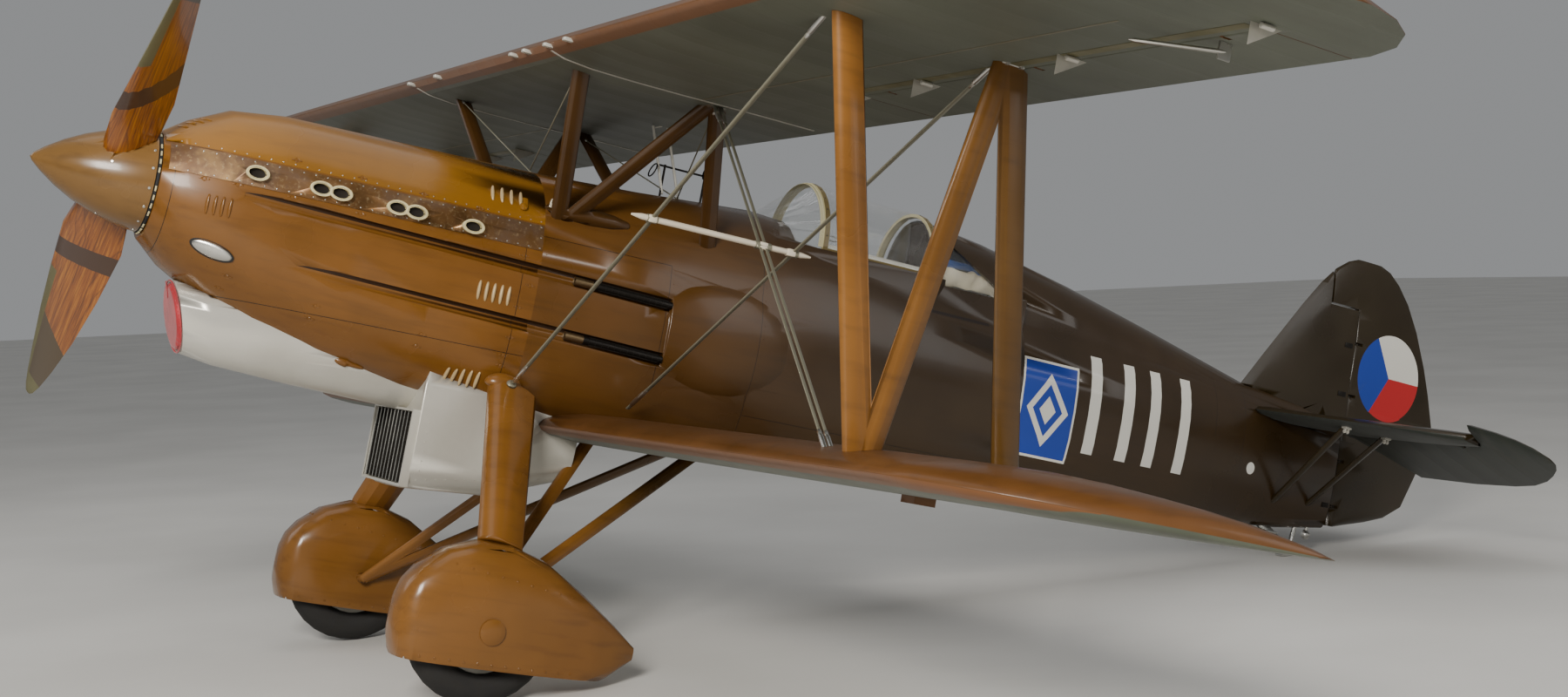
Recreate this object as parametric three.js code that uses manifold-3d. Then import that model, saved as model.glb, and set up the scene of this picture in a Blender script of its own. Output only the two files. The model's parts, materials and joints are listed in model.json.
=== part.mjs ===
// A single-seat biplane of the 1930s, parked on its spatted wheels and tail skid.
// Millimetres. The aircraft is drawn in its own level axes and then set nose-up on the floor:
//   x to port (the pilot's left), y aft from the tip of the spinner, z above the thrust line.
import * as THREE from "three";
import { mergeVertices } from "three/addons/utils/BufferGeometryUtils.js";
import Module from "manifold-3d";

const wasm = await Module();
wasm.setup();

// Driving dimensions

const PARKED_PITCH = THREE.MathUtils.degToRad(13.87);
const SPINNER_TIP_HEIGHT = 2362;
const SEAM = 0.35;
const CLEAR = 6;

const PROP = { y: 348, turn: -49.2, hub: 96, shaft: 42, pitch: 4600 };
const SPINNER = { length: 478, radius: 221 };

const COWL = { front: 496, back: 2170, seam: 175 };
const EXHAUST = { first: 860, pitch: 188, places: [0, 1.45, 1.9, 3.25, 3.7, 5.1], z: 108 };
const GUNS = [
  { name: "upper", front: 830, z0: 8, z1: -66, x0: 352, x1: 432 },
  { name: "lower", front: 1090, z0: -250, z1: -320, x0: 372, x1: 428 },
];
const GUN = { trough: 32, barrel: 19, muzzle: 2400, back: 2830 };

const UPPER = {
  y: 1823, z: 871, chord: 1389, rise: 2.07, dihedral: 0, half: 4700, thick: 0.115,
  tipStart: 3750, tipSweep: 1000, tailStart: 4300, centre: 900,
};
const LOWER = {
  y: 2351, z: -716, chord: 1300, rise: 1.0, dihedral: 0.2, half: 4140, thick: 0.115,
  tipStart: 3250, tipSweep: 1210, tailStart: 3950, centre: 0,
};
const AILERON = { in: 1850, out: 4250, chord: 342, nose: 44 };

const CABANE = { x: 811, front: 198, rear: 866, chord: 82, thick: 36 };
const BAY = {
  x: 2981, front: 257, rear: 967, footX: 2896, footFront: 150, footRear: 780, chord: 122, thick: 52,
};

const FIN = { hinge: 7462, hornY: 7205, hornZ: 846, nose: 42 };
const TAIL = { z: 118, thick: 74, hinge: 7385, bar: 34, tube: 12, root: 70, droop: 22, horn: 1160 };

const WHEEL = { radius: 325, width: 165, track: 1850, y: 2003, z: -1604, hub: 150, bore: 24.8 };

// Solids

const vectors = (list) => list.map(([x, y, z]) => new THREE.Vector3(x, y, z));

function solidOf(geometry) {
  const g = geometry.index ? geometry.toNonIndexed() : geometry.clone();
  for (const name of ["normal", "uv"]) g.deleteAttribute(name);
  const merged = mergeVertices(g, 1e-3);
  const index = merged.index.array;
  const faces = [];
  for (let i = 0; i < index.length; i += 3) {
    const [a, b, c] = [index[i], index[i + 1], index[i + 2]];
    if (a !== b && b !== c && c !== a) faces.push(a, b, c);
  }
  const vertProperties = new Float32Array(merged.attributes.position.array);
  let mesh = new wasm.Mesh({ numProp: 3, vertProperties, triVerts: new Uint32Array(faces) });
  let made = new wasm.Manifold(mesh);
  if (made.volume() < 0) {
    for (let i = 0; i < faces.length; i += 3) [faces[i + 1], faces[i + 2]] = [faces[i + 2], faces[i + 1]];
    mesh = new wasm.Mesh({ numProp: 3, vertProperties, triVerts: new Uint32Array(faces) });
    made = new wasm.Manifold(mesh);
  }
  return made;
}

// The two end faces of a loft: each ring is flattened along its own normal and triangulated.
function capFaces(ring) {
  const normal = new THREE.Vector3();
  ring.forEach((p, i) => {
    const q = ring[(i + 1) % ring.length];
    normal.add(new THREE.Vector3().crossVectors(p, q));
  });
  normal.normalize();
  const helper = Math.abs(normal.z) < 0.9 ? new THREE.Vector3(0, 0, 1) : new THREE.Vector3(1, 0, 0);
  const u = new THREE.Vector3().crossVectors(helper, normal).normalize();
  const v = new THREE.Vector3().crossVectors(normal, u);
  const flat = ring.map((p) => new THREE.Vector2(p.dot(u), p.dot(v)));
  const area = THREE.ShapeUtils.area(flat);
  return THREE.ShapeUtils.triangulateShape(flat, []).map(([a, b, c]) => {
    const turn = flat[b].clone().sub(flat[a]).cross(flat[c].clone().sub(flat[a]));
    return turn * area > 0 ? [a, b, c] : [a, c, b];
  });
}

// A closed solid through rings of equal length, each a list of points around the section.
function loft(rings) {
  const count = rings[0].length;
  const points = rings.flat();
  const faces = [];
  for (let k = 0; k + 1 < rings.length; k++)
    for (let i = 0; i < count; i++) {
      const j = (i + 1) % count;
      const [a, b, c, d] = [k * count + i, k * count + j, (k + 1) * count + i, (k + 1) * count + j];
      // The two sides of a section are cut along mirrored diagonals.
      if (2 * i < count) faces.push(a, b, d, a, d, c);
      else faces.push(a, b, c, b, d, c);
    }
  for (const [a, b, c] of capFaces(rings[0])) faces.push(a, c, b);
  const last = (rings.length - 1) * count;
  for (const [a, b, c] of capFaces(rings.at(-1))) faces.push(last + a, last + b, last + c);
  const g = new THREE.BufferGeometry().setFromPoints(points);
  g.setIndex(faces);
  return solidOf(g);
}

function box(x0, x1, y0, y1, z0, z1) {
  const g = new THREE.BoxGeometry(x1 - x0, y1 - y0, z1 - z0);
  return solidOf(g.translate((x0 + x1) / 2, (y0 + y1) / 2, (z0 + z1) / 2));
}

// A round bar between two points, with an optional second radius at its far end.
function bar(from, to, radius, far = radius, sides = 16) {
  const [a, b] = vectors([from, to]);
  const g = new THREE.CylinderGeometry(far, radius, a.distanceTo(b), sides);
  const turn = new THREE.Quaternion().setFromUnitVectors(
    new THREE.Vector3(0, 1, 0), b.clone().sub(a).normalize());
  g.applyQuaternion(turn).translate((a.x + b.x) / 2, (a.y + b.y) / 2, (a.z + b.z) / 2);
  return solidOf(g);
}

// A streamlined bar between two points: its section is blunt ahead and fine behind.
function strut(from, to, chord, thick, farChord = chord, farThick = thick, grow = 0) {
  const [a, b] = vectors([from, to]);
  const along = b.clone().sub(a).normalize();
  a.addScaledVector(along, -grow);
  b.addScaledVector(along, grow);
  const aft = new THREE.Vector3(0, 1, 0).addScaledVector(along, -along.y).normalize();
  const side = new THREE.Vector3().crossVectors(along, aft);
  const ring = (p, c, t) => foil(c < 30 ? 4 : 6).map(([s, w]) =>
    p.clone().addScaledVector(aft, (s - 0.42) * c).addScaledVector(side, w * t));
  return loft([
    ring(a, chord + 2 * grow, thick + 2 * grow),
    ring(b, farChord + 2 * grow, farThick + 2 * grow),
  ]);
}

// A symmetric streamlined section: [place along the chord, half-breadth from -0.5 to 0.5].
function foil(count) {
  const half = [];
  for (let i = 1; i < count; i++) {
    const s = (1 - Math.cos((Math.PI * i) / count)) / 2;
    half.push([s, 1.18 * (Math.sqrt(s) * (1 - s) + 0.05 * s * Math.sqrt(1 - s)) * 1.07]);
  }
  const upper = half.map(([s, w]) => [s, w]);
  const lower = half.map(([s, w]) => [s, -w]).reverse();
  return [[0, 0], ...upper, [1, 0], ...lower];
}

function ball(x, y, z, radius) {
  return solidOf(new THREE.SphereGeometry(radius, 10, 7).translate(x, y, z));
}

// A flat outline in y and z, given thickness across x.
function plate(outline, x0, x1) {
  const shape = new THREE.Shape(outline.map(([y, z]) => new THREE.Vector2(y, z)));
  const g = new THREE.ExtrudeGeometry(shape, { depth: x1 - x0, bevelEnabled: false });
  g.applyMatrix4(new THREE.Matrix4().makeBasis(
    new THREE.Vector3(0, 1, 0), new THREE.Vector3(0, 0, 1), new THREE.Vector3(1, 0, 0)));
  return solidOf(g.translate(x0, 0, 0));
}

const join = (...list) => list.flat().reduce((all, one) => all.add(one));
const mirror = (solid) => solid.mirror([1, 0, 0]);

// The main body of a trimmed solid, without the offcuts.
const largest = (solid) => solid.decompose().sort((a, b) => b.volume() - a.volume())[0];

// A hinge at a point: a lug for the fixed side, and a slot and a cross pin for the moving side.
function hinge([x, y, z], axis, nose) {
  const across = (width, half, from, to) => axis === "x"
    ? box(x - width / 2, x + width / 2, from, to, z - half, z + half)
    : box(x - half, x + half, from, to, z - width / 2, z + width / 2);
  const rod = (width, radius) => axis === "x"
    ? bar([x - width / 2, y, z], [x + width / 2, y, z], radius, radius, 8)
    : bar([x, y, z - width / 2], [x, y, z + width / 2], radius, radius, 8);
  return {
    lug: join(across(8, 8, y - nose - 26, y), rod(8, 13)).subtract(rod(20, 5.6)),
    slot: across(18, nose + 40, y - nose - 20, y + 20),
    pin: rod(34, 5),
  };
}

// Straight-line reading of a table of rows at place `at`, by the named column.
function read(table, at, column) {
  let i = table.findIndex((row) => row.y >= at);
  if (i < 0) return table.at(-1)[column];
  if (i === 0) return table[0][column];
  const [p, q] = [table[i - 1], table[i]];
  return p[column] + ((q[column] - p[column]) * (at - p.y)) / (q.y - p.y);
}

const group = new THREE.Group();
group.name = "biplane";
const looks = {
  brown: { color: 0x5d3d1c, roughness: 0.35, metalness: 0.1 },
  ochre: { color: 0x7d5a24, roughness: 0.35, metalness: 0.1 },
  copper: { color: 0x6b5140, roughness: 0.4, metalness: 0.7 },
  silver: { color: 0x9c9b90, roughness: 0.45, metalness: 0.5 },
  steel: { color: 0x8a8a86, roughness: 0.35, metalness: 0.9 },
  gunmetal: { color: 0x2a2826, roughness: 0.5, metalness: 0.8 },
  red: { color: 0xa3171c, roughness: 0.7, metalness: 0 },
  wood: { color: 0x9a5a20, roughness: 0.3, metalness: 0 },
  rubber: { color: 0x1c1b1a, roughness: 0.85, metalness: 0 },
  glass: { color: 0xb8c4c0, roughness: 0.05, metalness: 0 },
  leather: { color: 0x3a2618, roughness: 0.6, metalness: 0 },
  cloth: { color: 0xb9a888, roughness: 0.9, metalness: 0 },
};
const parts = {};

function add(name, solid, look) {
  const made = solid.getMesh();
  const g = new THREE.BufferGeometry();
  const points = new Float32Array(made.numVert * 3);
  for (let i = 0; i < made.numVert; i++)
    points.set(made.vertProperties.subarray(i * made.numProp, i * made.numProp + 3), i * 3);
  g.setAttribute("position", new THREE.BufferAttribute(points, 3));
  g.setIndex(new THREE.BufferAttribute(made.triVerts, 1));
  const mesh = new THREE.Mesh(g, new THREE.MeshStandardMaterial(looks[look]));
  mesh.name = name;
  group.add(mesh);
  parts[name] = solid;
  return solid;
}

function addPair(name, solid, look) {
  add(name + "_left", solid, look);
  add(name + "_right", mirror(solid), look);
}

// Fuselage: sections of the hull along y. half is the half-breadth, mid the height of the widest
// place, round the squareness of the upper half and belly that of the lower half.

const HULL = [
  { y: 496, half: 236, top: 224, mid: -14, low: -252, round: 2.0, belly: 2.0 },
  { y: 600, half: 282, top: 300, mid: -20, low: -345, round: 2.0, belly: 2.0 },
  { y: 770, half: 328, top: 386, mid: -40, low: -440, round: 2.05, belly: 2.1 },
  { y: 1000, half: 358, top: 418, mid: -70, low: -540, round: 2.15, belly: 2.2 },
  { y: 1300, half: 382, top: 424, mid: -100, low: -620, round: 2.25, belly: 2.3 },
  { y: 1700, half: 402, top: 430, mid: -120, low: -680, round: 2.3, belly: 2.6 },
  { y: 2170, half: 416, top: 440, mid: -140, low: -722, round: 2.3, belly: 3.0 },
  { y: 2700, half: 432, top: 470, mid: -150, low: -740, round: 2.3, belly: 3.2 },
  { y: 3300, half: 436, top: 520, mid: -150, low: -740, round: 2.2, belly: 3.2 },
  { y: 3640, half: 430, top: 500, mid: -150, low: -730, round: 2.2, belly: 3.2 },
  { y: 4300, half: 408, top: 430, mid: -150, low: -700, round: 2.2, belly: 3.0 },
  { y: 4900, half: 370, top: 390, mid: -140, low: -665, round: 2.2, belly: 2.8 },
  { y: 5700, half: 300, top: 330, mid: -130, low: -610, round: 2.2, belly: 2.6 },
  { y: 6500, half: 200, top: 262, mid: -120, low: -555, round: 2.2, belly: 2.4 },
  { y: 7050, half: 112, top: 225, mid: -130, low: -515, round: 2.2, belly: 2.2 },
  { y: 7412, half: 50, top: 205, mid: -130, low: -465, round: 2.2, belly: 2.2 },
];

function section(row, grow = 0, count = 32) {
  const ring = [];
  for (let i = 0; i < count; i++) {
    const a = (2 * Math.PI * i) / count;
    const [s, c] = [Math.sin(a), Math.cos(a)];
    const n = 2 / (c >= 0 ? row.round : row.belly);
    const reach = c >= 0 ? row.top - row.mid + grow : row.mid - row.low + grow;
    ring.push(new THREE.Vector3(
      (row.half + grow) * Math.sign(s) * Math.abs(s) ** n, row.y,
      row.mid + reach * Math.sign(c) * Math.abs(c) ** n));
  }
  return ring;
}

function hull(table, from, to, grow = 0, count = 32) {
  const at = (y) => Object.fromEntries(
    Object.keys(table[0]).map((k) => [k, k === "y" ? y : read(table, y, k)]));
  const rows = [at(from), ...table.filter((r) => r.y > from + 1 && r.y < to - 1), at(to)];
  const ends = [{ ...rows[0], y: from - grow }, ...rows.slice(1, -1), { ...rows.at(-1), y: to + grow }];
  return loft(ends.map((row) => section(row, grow, count)));
}

// The high narrow fairing behind the canopy, which runs down to the fin.
const DECK = [
  { y: 4325, half: 268, top: 690, mid: 300, low: 100, round: 2.3, belly: 2 },
  { y: 4700, half: 262, top: 648, mid: 280, low: 90, round: 2.2, belly: 2 },
  { y: 5300, half: 220, top: 545, mid: 240, low: 80, round: 2.1, belly: 2 },
  { y: 5900, half: 175, top: 420, mid: 200, low: 60, round: 2.0, belly: 2 },
  { y: 6620, half: 105, top: 262, mid: 100, low: 0, round: 2.0, belly: 2 },
];

const wholeHull = (grow = 0) => join(hull(HULL, 497, 7412, grow), hull(DECK, 4325, 6620, grow));

const gunLine = (g, y) => {
  const s = (y - g.front) / (GUN.back - g.front);
  return [g.x0 + (g.x1 - g.x0) * s, y, g.z0 + (g.z1 - g.z0) * s];
};
const troughs = join(GUNS.map((g) => {
  const one = bar(gunLine(g, g.front), gunLine(g, GUN.back), GUN.trough * 0.75, GUN.trough);
  return join(one, mirror(one));
}));

const cowlSpan = (grow) => hull(HULL, COWL.front, COWL.back - SEAM, grow);
const topRegion = box(-600, 600, 505, COWL.back + 1, COWL.seam, 700);
const topRegionWide = box(-600, 600, 505 - SEAM, COWL.back + 2, COWL.seam - SEAM, 700);

// Exhaust stubs: short flattened tubes that look out and aft from the side of the cowl.
const STUB = { wide: 44, tall: 27, wall: 4, out: 34, depth: 40 };
function oval(width, height, depth, y, z, x) {
  const g = new THREE.CylinderGeometry(1, 1, depth, 10).scale(width, 1, height);
  return solidOf(g.rotateZ(-Math.PI / 2).translate(x, y, z));
}
const stubs = EXHAUST.places.map((k) => {
  const y = EXHAUST.first + k * EXHAUST.pitch;
  const z = EXHAUST.z - k * 4;
  const x = read(HULL, y, "half") - 12;
  return { y, z, x };
});
const stubTubes = join(stubs.map(({ y, z, x }) => oval(STUB.wide, STUB.tall, 2 * STUB.out, y, z, x)));
const stubBores = join(stubs.map(({ y, z, x }) =>
  oval(STUB.wide - STUB.wall, STUB.tall - STUB.wall, 2 * STUB.out + 60, y, z, x + 20)));

const bothBores = join(stubBores, mirror(stubBores));
const shaftBore = bar([0, 400, 0], [0, 760, 0], PROP.shaft + 0.6, PROP.shaft + 0.6, 20);
const duct = [
  { y: 668, half: 150, top: -390, mid: -540, low: -698, round: 2.4, belly: 2.4 },
  { y: 800, half: 165, top: -380, mid: -545, low: -722, round: 2.4, belly: 2.3 },
  { y: 1150, half: 190, top: -380, mid: -500, low: -744, round: 2.4, belly: 2.1 },
  { y: 1700, half: 235, top: -400, mid: -450, low: -764, round: 2.4, belly: 2.0 },
  { y: 1960, half: 280, top: -400, mid: -440, low: -770, round: 2.4, belly: 2.0 },
];
// The lip slopes aft towards its lower edge: y grows by this share of the depth below `top`.
const RAKE = { slope: 0.3, top: -390 };
const rake = (solid) => solid.transform(new THREE.Matrix4().set(
  1, 0, 0, 0, 0, 1, -RAKE.slope, RAKE.slope * RAKE.top, 0, 0, 1, 0, 0, 0, 0, 1).elements);
const ductSolid = (grow) => rake(hull(duct, 668, 1960, grow));

const cowl = cowlSpan(0).subtract(topRegionWide).subtract(troughs).subtract(shaftBore).subtract(bothBores);
add("engine_cowl", cowl, "brown");
add("cowl_top", cowlSpan(0).intersect(topRegion), "ochre");

const panelBand = box(0, 600, 520, COWL.back - 6, 52, 168);
const panel = cowlSpan(4).subtract(cowlSpan(SEAM)).intersect(panelBand)
  .add(stubTubes.subtract(cowlSpan(SEAM)).intersect(box(0, 900, 500, 2300, -100, 400)))
  .subtract(stubBores);
addPair("exhaust_panel", panel, "copper");

const chin = ductSolid(0).subtract(hull(HULL, 497, 3000, SEAM));
add("chin_duct", chin, "silver");
add("intake_cover", rake(hull(duct, 668, 672, 0)).subtract(hull(HULL, 497, 3000, SEAM + 12))
  .translate([0, -4.6, 0]), "red");

const cabin = { front: 3300, back: 4420, floor: -470 };
const inside = hull(HULL, cabin.front, cabin.back, -24)
  .intersect(box(-500, 500, cabin.front, cabin.back, cabin.floor, 340));
const opening = box(-262, 262, 3500, 4320, 200, 900);
const rearBay = hull(DECK, 4350, 4860, -22).intersect(box(-500, 500, 4300, 4860, 330, 900));
const windowShape = plate([[4372, 352], [4820, 352], [4372, 610]], -400, 400);
const blister = solidOf(new THREE.SphereGeometry(1, 20, 12).scale(74, 400, 265).translate(404, 3120, -178))
  .intersect(box(0, 700, GUN.back, 3600, -600, 300));
const bulges = join(blister, mirror(blister));
// The coaming that carries the hood's rails, from the windscreen to behind the hood.
const SILL = 383;
const COAMING = [
  { y: 3390, half: 290 }, { y: 3640, half: 300 }, { y: 4310, half: 300 }, { y: 4895, half: 284 },
].map((row) => ({ ...row, top: SILL + 200, mid: SILL, low: 60, round: 2, belly: 8 }));
const coaming = hull(COAMING, 3390, 4895, 0).intersect(box(-500, 500, 3000, 4895, 0, SILL));
const midHull = join(
  coaming, hull(HULL, COWL.back, 4900 - SEAM, 0), hull(DECK, 4325, 4900 - SEAM, 0), bulges);

const lowerSolid = (grow) => wing(LOWER, 250, grow);
const upperSolid = (from, grow) => wing(UPPER, from, grow);

// A wing panel from `from` out to its rounded tip.
function wing(w, from, grow = 0) {
  const places = [from];
  for (const x of [620, w.tipStart]) if (x > from + 50) places.push(x);
  for (let i = 1; i <= 7; i++)
    places.push(w.tipStart + (w.half - w.tipStart) * Math.sin((i / 7.2) * (Math.PI / 2)));
  return loft(places.map((x, k) => wingRing(w, k === 0 ? x - grow : x, grow)));
}

function wingRing(w, x, grow) {
  const curve = (start) => {
    const s = Math.max(0, (x - start) / (w.half - start));
    return 1 - Math.sqrt(Math.max(0, 1 - s * s));
  };
  const lead = w.y + w.tipSweep * curve(w.tipStart) - grow;
  const trail = w.y + w.chord - (w.chord - w.tipSweep) * curve(w.tailStart) + grow;
  const chord = trail - lead;
  const scale = chord / w.chord;
  const slope = Math.tan(THREE.MathUtils.degToRad(w.rise));
  const lift = w.z + Math.max(0, x - 420) * Math.tan(THREE.MathUtils.degToRad(w.dihedral));
  const places = [0, 0.014, 0.06, 0.15, 0.3, 0.48, 0.74, 1];
  const point = (s, face) => {
    const t = w.thick
      * (1.4845 * Math.sqrt(s) - 0.63 * s - 1.758 * s * s + 1.4215 * s ** 3 - 0.518 * s ** 4);
    const camber = 0.028 * (1 - ((s - 0.4) / 0.6) ** 2 * (s > 0.4 ? 1 : 2.25));
    const z = (camber + face * Math.max(t, 0.0022)) * w.chord * Math.min(1, scale * 1.15);
    const y = lead + s * chord;
    return new THREE.Vector3(x, y, lift - (y - w.y) * slope + z + face * grow);
  };
  return [...places.map((s) => point(s, 1)), ...places.map((s) => point(s, -1)).reverse()];
}

const mid = midHull.subtract(inside).subtract(opening).subtract(rearBay).subtract(windowShape)
  .subtract(troughs);
add("fuselage_mid", mid, "brown");

// Tail: fin and rudder are one shape, and so are tailplane and elevator; each is then parted
// along its hinge line with a round-nosed gap.

const FIN_EDGE = [
  { y: -445, lead: 7430, trail: 7500 }, { y: -423, lead: 7430, trail: 7580 },
  { y: -382, lead: 7430, trail: 7740 }, { y: -334, lead: 7430, trail: 7885 },
  { y: -249, lead: 7430, trail: 8014 }, { y: 0, lead: 7430, trail: 8110 },
  { y: 60, lead: 6560, trail: 8130 }, { y: 262, lead: 6640, trail: 8165 },
  { y: 450, lead: 6765, trail: 8095 }, { y: 600, lead: 6868, trail: 8030 },
  { y: 800, lead: 7005, trail: 7925 }, { y: 950, lead: 7118, trail: 7822 },
  { y: 1050, lead: 7212, trail: 7725 }, { y: 1110, lead: 7300, trail: 7640 },
  { y: 1136, lead: 7372, trail: 7560 },
];
function finRing(z, grow) {
  const lead = read(FIN_EDGE, z, "lead") - grow;
  const trail = read(FIN_EDGE, z, "trail") + grow;
  const thick = 40 + 62 * (1 - Math.max(0, z) / 1250);
  return foil(7).map(([s, w]) => new THREE.Vector3(
    w * (thick * Math.min(1, (trail - lead) / 600) + 2 * grow), lead + s * (trail - lead), z));
}
const finWhole = loft(FIN_EDGE.filter((r) => r.y >= 60).map((r) => finRing(r.y, 0)));
const rudderRing = (row) => foil(7).map(([s, w]) => new THREE.Vector3(
  w * 88, FIN.hinge - 60 + s * (row.trail - FIN.hinge + 60), row.y));
const rudderLow = loft(FIN_EDGE.filter((r) => r.y <= 262).map(rudderRing));
const rudderZone = (gap) => {
  const y = FIN.hinge - gap;
  return join(
    box(-300, 300, y, 8400, -600, 1300),
    box(-300, 300, FIN.hornY - gap, y + 5, FIN.hornZ - gap, 1300),
    bar([0, FIN.hinge, -600], [0, FIN.hinge, 1300], FIN.nose + gap));
};
const rudderAll = join(finWhole, rudderLow);
const finHinges = [330, 640].map((z) => hinge([0, FIN.hinge, z], "z", FIN.nose));
const sternHinges = [-60, -330].map((z) => hinge([0, FIN.hinge, z], "z", FIN.nose));

// Tailplane planform: lead and trail along x.
const TAIL_EDGE = [
  { y: 0, lead: 6560, trail: 7440 }, { y: 100, lead: 6630, trail: 7470 },
  { y: 290, lead: 6736, trail: 7888 }, { y: 700, lead: 6962, trail: 7898 },
  { y: 1000, lead: 7128, trail: 7876 }, { y: 1160, lead: 7212, trail: 7842 },
  { y: 1290, lead: 7272, trail: 7778 }, { y: 1380, lead: 7334, trail: 7708 },
  { y: 1450, lead: 7412, trail: 7640 }, { y: 1490, lead: 7500, trail: 7580 },
];
function tailRing(x, side, grow) {
  const lead = read(TAIL_EDGE, x, "lead") - grow;
  const trail = read(TAIL_EDGE, x, "trail") + grow;
  const thick = TAIL.thick * Math.min(1, (trail - lead) / 700);
  return foil(7).map(([s, w]) => new THREE.Vector3(
    side * x, lead + s * (trail - lead), TAIL.z + w * (thick + 2 * grow)));
}
const tailWhole = (grow) => {
  const one = loft(TAIL_EDGE.map((r) => tailRing(r.y, 1, grow)));
  return join(one, mirror(one));
};
const elevatorZone = (gap) => {
  const main = box(TAIL.root - gap, 1700, TAIL.hinge - gap, 8100, -200, 500);
  const horn = box(TAIL.horn - gap, 1700, 7100, 7500, -200, 500);
  const nose = bar([TAIL.root - gap, TAIL.hinge, TAIL.z], [1700, TAIL.hinge, TAIL.z], TAIL.bar + gap);
  const one = join(main, horn, nose);
  return join(one, mirror(one), bar([-200, TAIL.hinge, TAIL.z], [200, TAIL.hinge, TAIL.z], TAIL.tube + gap));
};
const tailplaneWhole = tailWhole(0);
const tailHinges = [420, 1020].flatMap((x) => [x, -x])
  .map((x) => hinge([x, TAIL.hinge, TAIL.z], "x", TAIL.bar));
const lugs = (list) => list.map((h) => h.lug);
const slots = (list) => join(list.map((h) => h.slot));
const pins = (list) => list.map((h) => h.pin);
const turnAbout = (solid, pivot, axis, degrees) => {
  const m = new THREE.Matrix4().makeTranslation(...pivot)
    .multiply(new THREE.Matrix4().makeRotationAxis(
      new THREE.Vector3(...axis), THREE.MathUtils.degToRad(degrees)))
    .multiply(new THREE.Matrix4().makeTranslation(...pivot.map((c) => -c)));
  return solid.transform(m.elements);
};
const droop = (solid) => turnAbout(solid, [0, TAIL.hinge, TAIL.z], [1, 0, 0], -TAIL.droop);
const elevatorHalf = droop(join(
  tailplaneWhole.intersect(elevatorZone(0)).intersect(box(TAIL.root, 1700, 7100, 8200, -300, 600))
    .subtract(slots(tailHinges)),
  pins(tailHinges.filter((h, i) => i % 2 === 0))));
const elevatorTube = droop(
  bar([SEAM - TAIL.root, TAIL.hinge, TAIL.z], [TAIL.root - SEAM, TAIL.hinge, TAIL.z], TAIL.tube));
const tubeWay = bar([-200, TAIL.hinge, TAIL.z], [200, TAIL.hinge, TAIL.z], TAIL.tube + 0.6);
const sternWay = (gap) => box(-70 + gap, 70 - gap, TAIL.hinge - 200 + gap, 8200, -400, 600);
const tailSlot = tailWhole(SEAM).subtract(sternWay(SEAM));
const tailplane = join(tailplaneWhole.subtract(elevatorZone(CLEAR)).subtract(sternWay(0)), lugs(tailHinges));
add("tailplane", tailplane, "brown");
addPair("elevator", elevatorHalf, "brown");
add("elevator_tube", elevatorTube, "steel");
const fin = finWhole.subtract(rudderZone(2 * CLEAR)).subtract(wholeHull(SEAM))
  .subtract(tailSlot).subtract(tubeWay);
add("fin", join(largest(fin), lugs(finHinges)), "brown");
const rudderHinges = [...finHinges, ...sternHinges];
add("rudder", join(
  rudderAll.intersect(rudderZone(0)).subtract(slots(rudderHinges)), pins(rudderHinges)), "brown");
const rear = join(hull(HULL, 4900, 7412, 0), hull(DECK, 4900, 6620, 0)).subtract(tailSlot)
  .subtract(rudderZone(CLEAR)).subtract(tubeWay);
add("fuselage_rear", join(largest(rear), lugs(sternHinges)), "brown");

// Wings

const aileronAxis = (x) => [x, UPPER.y + UPPER.chord - AILERON.chord,
  UPPER.z - (UPPER.chord - AILERON.chord) * Math.tan(THREE.MathUtils.degToRad(UPPER.rise)) + 25];
const aileronNose = (gap) => bar(
  aileronAxis(AILERON.in - gap), aileronAxis(AILERON.out + gap), AILERON.nose + gap, AILERON.nose + gap, 28);
const aileronZone = (gap) => join(
  box(AILERON.in - gap, AILERON.out + gap, aileronAxis(0)[1], 4000, 500, 1200),
  aileronNose(gap));
const panelSolid = upperSolid(UPPER.centre, 0);
const aileronHinges = [2050, 3050, 4050].map((x) => hinge(aileronAxis(x), "x", AILERON.nose));
addPair("wing_upper", join(panelSolid.subtract(aileronZone(CLEAR)), lugs(aileronHinges)), "silver");
addPair("aileron", join(
  panelSolid.intersect(aileronZone(0)).subtract(slots(aileronHinges)), pins(aileronHinges)), "silver");
const centre = loft([-UPPER.centre + SEAM, UPPER.centre - SEAM].map((x) =>
  wingRing({ ...UPPER, tipStart: 1e5, tailStart: 1e5, half: 2e5 }, x, 0)));
add("wing_upper_centre", centre, "silver");
const padY = LOWER.y + 430;
const jackPad = box(BAY.footX - 45, BAY.footX + 45, padY - 45, padY + 45, LOWER.z - 66, LOWER.z + 10);
const lower = join(lowerSolid(0).subtract(wholeHull(SEAM)), jackPad);
addPair("wing_lower", lower, "silver");

// Struts between the fuselage and the wings, trimmed to both.

const upperTrim = join(upperSolid(UPPER.centre - 50, SEAM), loft([-950, 950].map((x) =>
  wingRing({ ...UPPER, tipStart: 1e5, tailStart: 1e5, half: 2e5 }, x, SEAM))));
const lowerTrim = lowerSolid(SEAM);
const under = (x, dy) =>
  [x, UPPER.y + dy, UPPER.z - dy * Math.tan(THREE.MathUtils.degToRad(UPPER.rise)) + 20];
const over = (x, dy) => [x, LOWER.y + dy, LOWER.z + 25];
const cabane = join(
  strut([330, 2235, 210], under(CABANE.x, CABANE.front), CABANE.chord, CABANE.thick),
  strut([332, 2262, 210], under(CABANE.x, CABANE.rear), CABANE.chord, CABANE.thick),
  strut([330, 3000, 230], under(CABANE.x, CABANE.rear), CABANE.chord, CABANE.thick),
  ball(CABANE.x, UPPER.y + CABANE.rear, UPPER.z - 30, 30),
  solidOf(new THREE.SphereGeometry(1, 12, 6).scale(78, 225, 46).translate(318, 2385, 258)));
addPair("cabane_struts", largest(cabane.subtract(upperTrim).subtract(wholeHull(SEAM))), "brown");
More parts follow.
